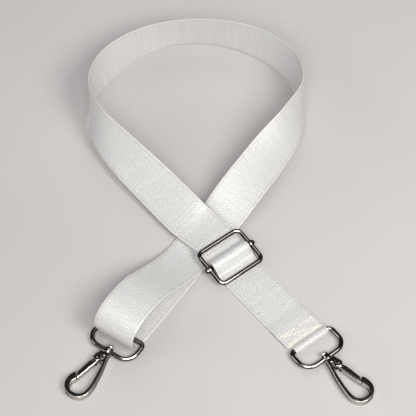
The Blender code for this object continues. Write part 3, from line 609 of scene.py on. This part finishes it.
def bar_profile():
    """Middle line of the lower strand from the fold to its sewn tail at the slider."""
    top = BAR_HEIGHT + WRAP_RADIUS
    run = TO_SLIDER - FLAT_LEAD - BAR_TAIL
    line = [(TO_SLIDER - reach, LAYERS[2] + PITCH * smooth((TO_SLIDER - FLAT_LEAD - reach) / run))
            for reach in spread(TO_SLIDER - FLAT_LEAD, BAR_TAIL, FINE * 1.5)]
    line += [(TO_SLIDER - reach, LAYERS[3]) for reach in spread(0.0115, 0.0085, 0.0015)]
    line += [(TO_SLIDER - reach, LAYERS[3] + (top - LAYERS[3]) * hump(reach, BAR_WRAP_REACH))
             for reach in spread(BAR_WRAP_REACH, 0, FINE)]
    for step in range(1, 21):
        angle = radians(90) - pi * step / 20
        line.append((TO_SLIDER + WRAP_RADIUS * cos(angle), BAR_HEIGHT + WRAP_RADIUS * sin(angle)))
    line += [(TO_SLIDER - reach, tail_height(reach)) for reach in spread(0, 0.005, FINE)[1:]]
    line += [(TO_SLIDER - reach, LAYERS[2]) for reach in spread(0.007, BAR_TAIL, 0.002)]
    return line


print("upper strand has", len(strand_profile()), "steps, lower", len(bar_profile()))

# %% [markdown]
# The loop stands on the table. Each row gives the band's middle across and along, in shares
# of the loop's depth, then how far the lower edge is off the table, in widths, and the
# lean of the band in degrees. The arch over ring A is a side profile in the same manner.
# %% Loop and arch
LOOP_REACH = 0.230
LOOP_SHARES = [
    (-0.028, 0.021, 0.12, 9), (-0.087, 0.076, 0.10, 21), (-0.204, 0.204, 0.13, 35),
    (-0.323, 0.331, 0.19, 50), (-0.427, 0.471, 0.17, 69), (-0.466, 0.637, 0.06, 91),
    (-0.411, 0.803, 0.02, 103), (-0.288, 0.929, 0.02, 94), (-0.126, 0.996, 0.04, 84),
    (0.050, 0.998, 0.04, 85), (0.215, 0.938, 0.02, 95), (0.342, 0.816, 0.02, 99),
    (0.390, 0.651, 0.07, 87), (0.341, 0.486, 0.18, 61), (0.246, 0.343, 0.18, 37),
    (0.146, 0.199, 0.16, 23), (0.082, 0.112, 0.08, 13)]
ARCH = 0.0324
ARCH_SHARES = [
    (0.16, 0.07), (0.28, 0.19), (0.37, 0.37), (0.39, 0.56), (0.32, 0.74), (0.15, 0.89),
    (-0.10, 0.98), (-0.37, 1.00), (-0.74, 0.965), (-1.08, 0.87), (-1.60, 0.59),
    (-2.16, 0.29), (-2.62, 0.12), (-2.95, 0.065)]


def loop_curve():
    """Middle and lean of the band round the loop, from the slider to the crossing."""
    lead = [(*(STRAND * along).xy, height, 0)
            for along, height in (on_slope(BUMP_REACH), on_slope(LOW_REACH))]
    for across, along, lift, lean in LOOP_SHARES:
        tilt = radians(lean)
        height = lift * WIDTH + WIDTH / 2 * sin(tilt) + THICKNESS / 2 * abs(cos(tilt))
        lead.append((across * LOOP_REACH, along * LOOP_REACH, height, tilt))
    lead.append((*(RETURN * -FLAT_LEAD).xy, LAYERS[0], 0))
    curve = catmull(lead, 0.0018)
    return [point for point in curve if point.xy.dot(STRAND.xy) <= TO_SLIDER - LOW_REACH]


def arch_profile():
    points = [(TO_RING_A + 0.001, LAYERS[0])]
    points += [(TO_RING_A + along * ARCH, height * ARCH) for along, height in ARCH_SHARES]
    points.append((FLAT_LEAD + 0.0012, LAYERS[1]))
    flat = [(along, LAYERS[0]) for along in spread(-FLAT_LEAD + 0.002, TO_RING_A, 0.0025)]
    return flat + [(point.x, point.y) for point in catmull([(*point, 0) for point in points], 0.0012)]


print("loop has", len(loop_curve()), "steps, arch", len(arch_profile()))

# %% [markdown]
# Each station carries the distance along the band as well, because the weave is laid out
# in metres of cloth. At the diagonal fold the band is cut on the slant, so its stations
# there are slanted too and the rows of yarn stay unbroken across the crease.
# %% Stations of the whole band


def pinch(along, height, ring):
    """Share of the width that is left where a ring's bar draws the band together."""
    distance = hypot(along - ring, height - RING_BAR_HEIGHT) - RING_WIRE - GAP - THICKNESS / 2
    return 1 - PINCH * (1 - smooth(distance / PINCH_REACH))


def flat_stations(line, heading, width, ring):
    points = [heading * along + UP * height for along, height in line]
    stations = []
    for spot, point in enumerate(points):
        ahead = (points[min(spot + 1, len(points) - 1)] - points[max(spot - 1, 0)]).normalized()
        share = pinch(*line[spot], ring)
        stations.append((point, width * WIDTH / 2 * share, width.cross(ahead).normalized(), 0.0))
    return stations


def loop_stations():
    curve = loop_curve()
    stations = []
    for spot in range(1, len(curve) - 1):
        ahead = (curve[spot + 1] - curve[spot - 1]).to_3d().normalized()
        right = ahead.cross(UP).normalized()
        lean = curve[spot][3]
        width = right * cos(lean) + right.cross(ahead) * sin(lean)
        stations.append((curve[spot].to_3d(), width * WIDTH / 2, width.cross(ahead), 0.0))
    return stations


def fold_stations():
    crease = (STRAND - RETURN).normalized()
    away = UP.cross(crease)
    half = -crease * (WIDTH / 2 / abs(crease.cross(RETURN).z))
    stations = []
    for step in range(9):
        angle = pi * step / 8
        outward = away * sin(angle) - UP * cos(angle)
        point = UP * (LAYERS[1] + PITCH / 2) + outward * PITCH / 2
        stations.append((point, half, outward, half.dot(-RETURN)))
    return stations


strand_right = UP.cross(STRAND)
return_right = RETURN.cross(UP)
stations = flat_stations(strand_profile(), STRAND, strand_right, TO_RING_B) + loop_stations()
stations.append((RETURN * -FLAT_LEAD + UP * LAYERS[0], return_right * WIDTH / 2, UP, 0.0))
stations += flat_stations(arch_profile(), RETURN, return_right, TO_RING_A) + fold_stations()
stations += flat_stations(bar_profile(), STRAND, -strand_right, TO_RING_B)

# %% [markdown]
# A woven edge is not a knife cut: the yarn turns back there into a soft bead, with a
# shallow line beside it. The cross-section gives the band that edge, and a slight ripple
# in the middle keeps the light from lying on it as on a ruler.
# %% Webbing
COLUMNS = 22
BEAD = 0.0016


def section():
    """(share of half width, share of half thickness) round the band, and its face."""
    top = []
    for column in range(COLUMNS + 1):
        across = sin(pi * (column / COLUMNS - 0.5))
        across = 0.35 * across + 0.65 * (2 * column / COLUMNS - 1)
        edge = (1 - abs(across)) * WIDTH / 2
        if edge < BEAD:
            fall = sqrt(max(0.0, 1 - (1 - edge / BEAD) ** 2))
            level = 0.30 + 0.66 * fall
        else:
            level = 1.0 - 0.28 * exp(-((edge - BEAD * 1.15) / 0.0004) ** 2)
        top.append((across, level))
    return top + [(across, -level) for across, level in reversed(top)]


profile = section()
rings, band_map, travelled = [], [], 0.0
for spot, (point, half, normal, slant) in enumerate(stations):
    if spot:
        travelled += (point - stations[spot - 1][0]).length
    ripple = 0.00009 * noise.noise(Vector((travelled * 28, 3.1, 0.4)))
    ring, row = [], []
    for across, level in profile:
        drift = 0.00005 * noise.noise(Vector((travelled * 60, across * 2.2, 7.7)))
        lift = THICKNESS / 2 * level + (ripple + drift) * (1 - abs(across))
        ring.append(ORIGIN + point + half * across + normal * lift)
        row.append((across * WIDTH / 2, travelled + slant * across))
    rings.append(ring)
    band_map.append(row)
bm = skin(rings)
layer = bm.loops.layers.uv.new("band")
bm.verts.index_update()
count = len(profile)
for face in bm.faces:
    for loop in face.loops:
        station, corner = divmod(loop.vert.index, count)
        loop[layer].uv = band_map[station][corner]
webbing = finish_piece("webbing_cloth", mesh_from(bm), webbing_mat, "strap", "webbing",
                       smooth=60)

# %% [markdown]
# Stitches and bent wire both follow a path, so each comes from a Geometry Nodes tree: one
# sets a small capsule of thread at even steps along a line, the other sweeps a round
# section along it. The trees take their sizes as named inputs and end in real faces.
# %% Geometry Nodes trees
ASKEW = 0.35


def finish_tree(tree, shape, mat):
    """Real faces in their material as what a tree gives."""
    real = add_node(tree, "GeometryNodeRealizeInstances", {0: shape})
    painted = add_node(tree, "GeometryNodeSetMaterial", {"Geometry": real.outputs[0], "Material": mat})
    add_node(tree, "NodeGroupOutput", {0: painted.outputs["Geometry"]})
    return tree


def build_stitch_tree():
    """Capsules of thread at even steps along a curve."""
    tree, given = new_group("stitch_line", "GeometryNodeTree",
                            {"Geometry": "Geometry", "Pitch": "Float", "Length": "Float", "Radius": "Float",
                             "Thread": "Material"}, {"Geometry": "Geometry"})
    even = add_node(tree, "GeometryNodeResampleCurve",
                    {"Curve": given["Geometry"], "Length": given["Pitch"]}, mode="LENGTH")
    tangent = add_node(tree, "GeometryNodeInputTangent").outputs[0]
    turn = add_node(tree, "FunctionNodeAlignRotationToVector", {"Vector": tangent}, axis="Z")
    twist = add_node(tree, "FunctionNodeRandomValue", {0: (-ASKEW,) * 3, 1: (ASKEW,) * 3, "Seed": 4},
                     data_type="FLOAT_VECTOR")
    askew = add_node(tree, "FunctionNodeRotateRotation",
                     {"Rotation": turn.outputs["Rotation"], "Rotate By": twist.outputs[0]})
    bead = add_node(tree, "GeometryNodeMeshUVSphere", {"Segments": 8, "Rings": 6, "Radius": 0.5})
    width = maths(tree, "MULTIPLY", given["Radius"], 2.0)
    size = add_node(tree, "ShaderNodeCombineXYZ", {"X": width, "Y": width, "Z": given["Length"]})
    rows = add_node(tree, "GeometryNodeInstanceOnPoints", {
        "Points": even.outputs["Curve"], "Instance": bead.outputs["Mesh"],
        "Rotation": askew.outputs["Rotation"], "Scale": size.outputs[0]})
    return finish_tree(tree, rows.outputs["Instances"], given["Thread"])


def build_sweep_tree():
    """Round wire along a curve."""
    tree, given = new_group("bent_wire", "GeometryNodeTree",
                            {"Geometry": "Geometry", "Radius": "Float", "Sides": "Int", "Metal": "Material"},
                            {"Geometry": "Geometry"})
    circle = add_node(tree, "GeometryNodeCurvePrimitiveCircle",
                      {"Radius": given["Radius"], "Resolution": given["Sides"]})
    sweep = add_node(tree, "GeometryNodeCurveToMesh", {
        "Curve": given["Geometry"], "Profile Curve": circle.outputs["Curve"], "Fill Caps": True})
    return finish_tree(tree, sweep.outputs["Mesh"], given["Metal"])


def run_tree(tree, paths, values, cyclic=False):
    """Mesh that a tree makes from one or more lines of points."""
    curve = bpy.data.curves.new("line", "CURVE")
    curve.dimensions = "3D"
    for points in paths:
        spline = curve.splines.new("POLY")
        spline.points.add(len(points) - 1)
        for spot, point in enumerate(points):
            spline.points[spot].co = (*point, 1)
        spline.use_cyclic_u = cyclic
    obj = new_object("line", curve)
    step = obj.modifiers.new("nodes", "NODES")
    step.node_group = tree
    for item in tree.interface.items_tree:
        if item.in_out == "INPUT" and item.name in values:
            step[item.identifier] = values[item.name]
    return baked(obj)


stitch_tree = build_stitch_tree()
sweep_tree = build_sweep_tree()
print("trees:", stitch_tree.name, sweep_tree.name)

# %% [markdown]
# The folded end at ring B is held by a box of lock stitches with a cross inside it and two
# part rows beside it, in a thread creamier than the cloth. Each stitch is a short bead
# pressed into the weave. The machine has left one loose thread end at the left edge.
# %% Stitches
STITCH_RADIUS = 0.00040
STITCH_PITCH = 0.0027
NEAR_ROW, FAR_ROW = 0.0063, 0.0168
HALF_ROW = 0.0158
PART_ROW_SHIFT = 0.0011
LOOSE_END = [(0.0063, -HALF_ROW - 0.0005, 0.0008), (0.0060, -0.0178, 0.0011), (0.0058, -0.0196, 0.0004),
             (0.0066, -0.0208, -0.0006), (0.0080, -0.0214, -0.0014)]


def by_strand(along, across, height):
    return ORIGIN + STRAND * along + strand_right * across + UP * height


def on_strand(inset, across, lift):
    """Point over the upper strand: inset from the ring's bar, and sideways."""
    return by_strand(TO_RING_B - inset, across, strand_top(TO_RING_B - inset) + lift)


def under_strand(inset, across, lift):
    return by_strand(TO_RING_B - inset, across, lift)


def box_rows(point, lift):
    """Lines of the box stitch, its cross and the two part rows."""
    lines = []
    for row in (NEAR_ROW, FAR_ROW):
        lines.append([point(row, across, lift) for across in spread(-HALF_ROW, HALF_ROW, 0.001)])
    for side in (-HALF_ROW, HALF_ROW):
        lines.append([point(row, side, lift) for row in spread(NEAR_ROW, FAR_ROW, 0.001)])
    for first, last in ((NEAR_ROW, FAR_ROW), (FAR_ROW, NEAR_ROW)):
        lines.append([point(first + (last - first) * share, HALF_ROW * (2 * share - 1), lift)
                      for share in spread(0, 1, 0.04)])
    for row, reach in ((NEAR_ROW, 0.8), (FAR_ROW, -0.2)):
        lines.append([point(row + PART_ROW_SHIFT, across, lift)
                      for across in spread(-HALF_ROW, HALF_ROW * reach, 0.001)])
    return [[wander(spot) for spot in line] for line in lines]


def wander(spot):
    """Point moved by the small errors of a sewing machine on thick cloth."""
    return spot + 0.0009 * Vector((noise.noise(spot * 420), noise.noise(spot * 420 + Vector((9, 4, 2))), 0))


values = {"Pitch": STITCH_PITCH, "Length": 0.0026, "Radius": STITCH_RADIUS, "Thread": thread_mat}
lines = box_rows(on_strand, THICKNESS / 2 + STITCH_RADIUS * 0.35)
lines += box_rows(under_strand, STITCH_RADIUS * 0.7)
stitches = run_tree(stitch_tree, lines, values)
loose = soften([on_strand(*spot) for spot in LOOSE_END], 0.0006)
tail = run_tree(sweep_tree, [loose], {"Radius": 0.0002, "Sides": 8, "Metal": thread_mat})
bm = bmesh.new()
bm.from_mesh(stitches)
bm.from_mesh(tail)
finish_piece("ring_end_stitches", mesh_from(bm), thread_mat, "strap",
             "ring_end_stitching", smooth=180)


lines = [[by_strand(TO_SLIDER - inset, across, tail_height(inset) - THICKNESS / 2 - STITCH_RADIUS * 0.6)
          for across in spread(-HALF_ROW, HALF_ROW, 0.001)] for inset in (0.0033, 0.0045)]
finish_piece("bar_end_stitches", run_tree(stitch_tree, lines, values), thread_mat, "strap",
             "bar_end_stitching", smooth=180)

# %% [markdown]
# The slider is a bent wire frame with a loose bar across it. The bar's ends are flattened
# into eyes round the frame's two short wires, and a small seam on the lower long side
# shows where the frame's wire was joined.
# %% Slider
EYELET_WALL = 0.0008
EYELET_LENGTH = 0.0045
KNOB = 0.0023
KNOB_REACH = 0.0019
FRAME_HALF_WIDTH = WIDTH / 2 + 0.0003 + FRAME_WIRE + GAP + EYELET_WALL


def turned_at(point, heading, tilt):
    """Place of a part's frame: tilted about its X axis, turned about Z and moved."""
    return Matrix.Translation(point) @ Matrix.Rotation(heading, 4, "Z") @ Matrix.Rotation(tilt, 4, "X")


slider_place = turned_at(ORIGIN + STRAND * TO_SLIDER + UP * BAR_HEIGHT, STRAND_HEADING + pi / 2, atan(SLOPE))


def arc(centre, radius, start, end, steps):
    """Points on an arc in the local XY plane, angles in degrees."""
    angles = [radians(start + (end - start) * step / steps) for step in range(steps + 1)]
    return [Vector((centre[0] + radius * cos(angle), centre[1] + radius * sin(angle), 0))
            for angle in angles]


def rounded_loop(half_width, near, far, near_radius, far_radius):
    """Middle line of a wire bent into a loop between two cross members."""
    path = arc((half_width - near_radius, near + near_radius), near_radius, -90, 0, 12)
    path += arc((half_width - far_radius, far - far_radius), far_radius, 0, 90, 16)
    path += arc((far_radius - half_width, far - far_radius), far_radius, 90, 180, 16)
    path += arc((near_radius - half_width, near + near_radius), near_radius, 180, 270, 12)
    return path


def lathe(profile, sides, centre=(0, 0, 0)):
    """Closed solid turned about a line along local Y from (along, radius) pairs."""
    angles = [tau * side / sides for side in range(sides)]
    return mesh_from(skin([[Vector(centre) + Vector((radius * cos(angle), along, radius * sin(angle)))
                            for angle in angles] for along, radius in profile]))


def rounded_rod(start, end, radius, edge, steps=4):
    """Profile of a cylinder with rounded rims."""
    low = [(start + edge * (1 - cos(pi / 2 * step / steps)),
            radius - edge * (1 - sin(pi / 2 * step / steps))) for step in range(steps + 1)]
    return low + [(end + start - along, reach) for along, reach in reversed(low)]


path = rounded_loop(FRAME_HALF_WIDTH, -FRAME_HALF_LENGTH, FRAME_HALF_LENGTH, 0.005, 0.005)
wire = run_tree(sweep_tree, [path], {"Radius": FRAME_WIRE, "Sides": 32, "Metal": slider_mat}, cyclic=True)
seam = lathe(rounded_rod(-0.00045, 0.00045, FRAME_WIRE + 0.00016, 0.00014), 32)
seam.transform(Matrix.Translation((0, FRAME_HALF_LENGTH, 0)) @ Matrix.Rotation(pi / 2, 4, "Z"))
wire = combine(wire, [("UNION", seam)])
wire.transform(slider_place)
finish_piece("slider_wire", wire, slider_mat, "slider", "slider_frame", smooth=60)

angles = [tau * side / 32 for side in range(32)]
rod = mesh_from(skin([[Vector((x, BAR_WIRE * cos(angle), BAR_WIRE * sin(angle)))
                       for angle in angles] for x in (-FRAME_HALF_WIDTH, FRAME_HALF_WIDTH)]))
eye = FRAME_WIRE + GAP
tools = []
for sign in (-1, 1):
    centre = (sign * FRAME_HALF_WIDTH, 0, 0)
    body = rounded_rod(-EYELET_LENGTH / 2, EYELET_LENGTH / 2, eye + EYELET_WALL, 0.0006)
    tools.append(("UNION", lathe(body, 40, centre)))
    dome = [(-KNOB * cos(angle), KNOB * sin(angle))
            for angle in (pi * step / 16 for step in range(1, 16))]
    tools.append(("UNION", lathe(dome, 32, (sign * (FRAME_HALF_WIDTH + KNOB_REACH), 0, 0))))
    tools.append(("DIFFERENCE", lathe([(-0.005, eye), (0.005, eye)], 40, centre)))
bar = combine(rod, tools)
bar.transform(slider_place)
finish_piece("slider_crossbar", bar, slider_mat, "strap", "slider_bar", smooth=40)

# %% [markdown]
# Both ends carry the same clip: an oval ring, a headed post that lets the hook spin, a
# cast hook and its gate. The clip is described once in its own frame, with the ring's bar
# along X and the hook pointing along Y, and then set at either end. Clip B's hook is
# turned half round its post, as in the photo, where its gate faces the other way.
# %% Places of the two clips
BAR_TO_SWIVEL = 0.0183
HEAD_START = 0.0054
HOOK_LENGTH = 0.0476
HOOK_HALF_WIDTH = 0.0113
HOOK_THICKNESS = 0.0060
PIVOT = Vector((0.0029, HEAD_START + 0.0078, 0))
CLIP_REACH = BAR_TO_SWIVEL + HEAD_START + HOOK_LENGTH
CLIP_TILT = asin((RING_BAR_HEIGHT - HOOK_THICKNESS / 2) / CLIP_REACH)


def clip_places(heading, reach, turned):
    """Matrices of the ring, of the hook on its swivel and of the gate's pivot."""
    along = Vector((cos(heading), sin(heading), 0))
    ring = turned_at(ORIGIN + along * reach + UP * RING_BAR_HEIGHT, heading - pi / 2, -CLIP_TILT)
    swivel = ring @ Matrix.Translation((0, BAR_TO_SWIVEL, 0))
    if turned:
        swivel = swivel @ Matrix.Rotation(pi, 4, "Y")
    return {"ring": ring, "swivel": swivel, "pivot": swivel @ Matrix.Translation(PIVOT)}


clips = {"a": clip_places(RETURN_HEADING, TO_RING_A, False),
         "b": clip_places(STRAND_HEADING, TO_RING_B, True)}


def set_on_both(name, mesh, place, mat, body, node, smooth):
    """Copies of a clip piece at both ends, each in the named place of its clip."""
    copies = []
    for tag, places in clips.items():
        placed = mesh.copy()
        placed.transform(places[place])
        copies.append(finish_piece(f"{name}_{tag}", placed, mat, body and f"{body}_{tag}", f"{node}_{tag}",
                                   smooth))
    return copies


print("clip tilt in degrees:", round(degrees(CLIP_TILT), 2))

# %% [markdown]
# The ring is bent from one wire, with a short barrel at the middle of its far side. The
# barrel is joined to the wire and drilled through, so the post can pass.
# %% Rings
RING_HALF_WIDTH = WIDTH / 2 + 0.0004 + RING_WIRE
BARREL_START = BAR_TO_SWIVEL + 0.0002
BARREL_LENGTH = 0.0048
BORE = 0.0014 + GAP
ring_path = rounded_loop(RING_HALF_WIDTH, 0, BARREL_START + BARREL_LENGTH / 2, 0.0040, 0.0105)
ring_values = {"Radius": RING_WIRE, "Sides": 36, "Metal": ring_mat}
ring_wire = run_tree(sweep_tree, [ring_path], ring_values, cyclic=True)
barrel = lathe(rounded_rod(BARREL_START, BARREL_START + BARREL_LENGTH, 0.0030, 0.0006), 48)
drill = lathe([(BARREL_START - 0.001, BORE), (BARREL_START + BARREL_LENGTH + 0.001, BORE)], 48)
ring_mesh = combine(ring_wire, [("UNION", barrel), ("DIFFERENCE", drill)])
set_on_both("ring_wire", ring_mesh, "ring", ring_mat, "ring", "ring", 40)

# %% [markdown]
# The post is a rivet: a domed head inside the ring, a smooth shank through the barrel and
# an end peened over inside the hook's head.
# %% Swivel posts
neck = 0.0002 - GAP
peen = HEAD_START + 0.0026 + GAP
dome = [(neck - 0.0022 * sin(radians(angle)) - 0.0008, 0.0030 * cos(radians(angle)))
        for angle in (86, 74, 62, 50, 38, 26, 13, 0)]
post_profile = [*dome, (neck - 0.0003, 0.0030), (neck, 0.0027), (neck, 0.0014), (peen, 0.0014),
                (peen, 0.0018), (peen + 0.0002, 0.0020), (peen + 0.0005, 0.0019), (peen + 0.0008, 0.0013)]
set_on_both("post", lathe(post_profile, 40), "swivel", post_mat, "hook", "swivel_post", 50)

# %% [markdown]
# The hook is die cast: a flat plan with softly rounded rims. Its outline runs down the
# spine, round the bow to the nose, back along the eye and round the cheek that holds the
# gate. The head has a window for the post's end, and a slot for the gate's tongue.
# %% Hook bodies
SPINE = [
    (-0.38, 0.063), (-0.46, 0.139), (-0.57, 0.221), (-0.67, 0.300), (-0.84, 0.473),
    (-0.965, 0.630), (-1.00, 0.767), (-0.94, 0.861), (-0.735, 0.945), (-0.40, 0.991),
    (0.0, 1.0), (0.40, 0.985), (0.725, 0.933), (0.94, 0.849), (1.00, 0.756),
    (0.95, 0.668), (0.87, 0.630), (0.752, 0.599)]
EYE = [
    (0.434, 0.697), (0.55, 0.767), (0.56, 0.830), (0.41, 0.899), (0.14, 0.931),
    (-0.18, 0.933), (-0.48, 0.903), (-0.67, 0.845), (-0.735, 0.763), (-0.70, 0.630),
    (-0.585, 0.462), (-0.434, 0.294), (-0.372, 0.227), (-0.345, 0.206)]
HEAD_SIDE = [(0.50, 0.115), (0.42, 0.063)]
HEAD_HALF_WIDTH = 0.0038
CHEEK_RADIUS = 0.0032
PIN_RADIUS = 0.0007
WINDOW_REACH = 0.0029


def hook_points(shares):
    return [Vector((x * HOOK_HALF_WIDTH, HEAD_START + y * HOOK_LENGTH, 0)) for x, y in shares]


def plate(outline, height):
    """Flat solid over an outline, half its height above and half below."""
    return mesh_from(skin([[Vector((point[0], point[1], level)) for point in outline]
                           for level in (-height / 2, height / 2)]))


def disc(radius, centre, height, sides=40):
    return plate(arc(centre, radius, 0, 360 - 360 / sides, sides - 1), height)


outline = [Vector((-HEAD_HALF_WIDTH, HEAD_START, 0))]
outline += soften(hook_points(SPINE), 0.0007) + soften(hook_points(EYE), 0.0007)
outline += arc(PIVOT, CHEEK_RADIUS, 155, 0, 24)
outline += [*hook_points(HEAD_SIDE), Vector((HEAD_HALF_WIDTH, HEAD_START, 0))]
hook = bevelled(plate(outline, HOOK_THICKNESS), 0.0017, 5, 50)
low, step, high = (HEAD_START + level for level in (0.0026, 0.0053, 0.0084))
window = [(-WINDOW_REACH, low), (0.0024, low), (0.0024, step), (0.0009, step), (0.0009, high),
          (-WINDOW_REACH, high)]
TONGUE = 0.0020
SPRING_HEIGHT = 2 * 0.00075 + 0.0003
NOTCH = SPRING_HEIGHT + GAP * 2
TONGUE_HEIGHT = NOTCH + 0.0012
left = PIVOT.x - TONGUE - GAP
wide = left - 0.0015
slot = [(left, PIVOT.y - TONGUE - GAP), (0.0113, PIVOT.y - TONGUE - GAP), (0.0113, PIVOT.y + 0.0064),
        (wide, PIVOT.y + 0.0064), (wide, PIVOT.y + 0.0015), (left, PIVOT.y)]
bore = lathe([(HEAD_START - 0.002, BORE), (low + GAP, BORE)], 40)
hook = combine(hook, [("DIFFERENCE", plate(window, 0.01)),
                      ("DIFFERENCE", plate(slot, TONGUE_HEIGHT + GAP * 2)),
                      ("DIFFERENCE", disc(PIN_RADIUS + GAP, PIVOT, 0.008)),
                      ("DIFFERENCE", bore)])
set_on_both("hook_casting", hook, "swivel", hook_mat, "hook", "hook_body", 38)

# %% [markdown]
# The gate is a slim cast arm. A thin tongue at its foot turns on the pin between the
# hook's cheeks, with a notch for the spring's coil, and its end lies along the nose.
# %% Gates
ARM = [
    (0.54, 0.258), (0.637, 0.422), (0.708, 0.557), (0.726, 0.592), (0.407, 0.691),
    (0.283, 0.546), (0.159, 0.378), (0.035, 0.265), (0.0, 0.240)]
arm = [point - PIVOT for point in hook_points(ARM)]
gate = bevelled(plate(arm, 0.0050), 0.0009, 4, 50)
foot = HEAD_START + 0.268 * HOOK_LENGTH - PIVOT.y
tongue = arc((0, 0), TONGUE, -180, 0, 24)
tongue += [Vector((share * HOOK_HALF_WIDTH - PIVOT.x, foot, 0)) for share in (0.48, 0.06)]
edge = 0.0012 + 0.00015 + GAP
notch = [(-0.0113, -0.0032), (edge, -0.0032), (edge, 0.0057 + GAP * 2), (-0.0113, 0.0057 + GAP * 2)]
gate = combine(gate, [("DIFFERENCE", disc(CHEEK_RADIUS + GAP, (0, 0), 0.006)),
                      ("UNION", plate(tongue, TONGUE_HEIGHT)),
                      ("DIFFERENCE", plate(notch, NOTCH)),
                      ("DIFFERENCE", disc(PIN_RADIUS + GAP, (0, 0), 0.006))])
set_on_both("gate_arm", gate, "pivot", gate_mat, "gate", "gate", 38)

# %% [markdown]
# The pin is a plain steel rivet with a slightly crowned end, flush with the cheeks. The
# torsion spring winds twice round it: one leg stays in the window, the other pushes the
# gate shut. The coil is a swept wire from the same tree as the ring.
# %% Pins and springs
pin_end = [(0.0027, PIN_RADIUS), (0.0029, 0.00065), (0.0030, 0.0005)]
pin_profile = [(-along, radius) for along, radius in reversed(pin_end)] + pin_end
pin = lathe(pin_profile, 32)
pin.transform(Matrix.Rotation(pi / 2, 4, "X"))
COIL = 0.0012
coil = [Vector((-(WINDOW_REACH + PIVOT.x - 0.0005), -COIL, -0.00075)), Vector((-0.0006, -COIL, -0.00075))]
for step in range(73):
    angle = radians(-90) + (2 * tau + pi / 2) * step / 72
    coil.append(Vector((COIL * cos(angle), COIL * sin(angle), -0.00075 + 0.0015 * step / 72)))
coil.append(Vector((COIL, 0.0057, 0.00075)))
spring = run_tree(sweep_tree, [coil], {"Radius": 0.00015, "Sides": 10, "Metal": spring_mat})
set_on_both("pin_rivet", pin, "pivot", pin_mat, "hook", "gate_pin", 40)
springs = set_on_both("coil_spring", spring, "pivot", spring_mat, None, "gate_spring", 60)
for coil_spring, (tag, places) in zip(springs, clips.items()):
    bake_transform(coil_spring)
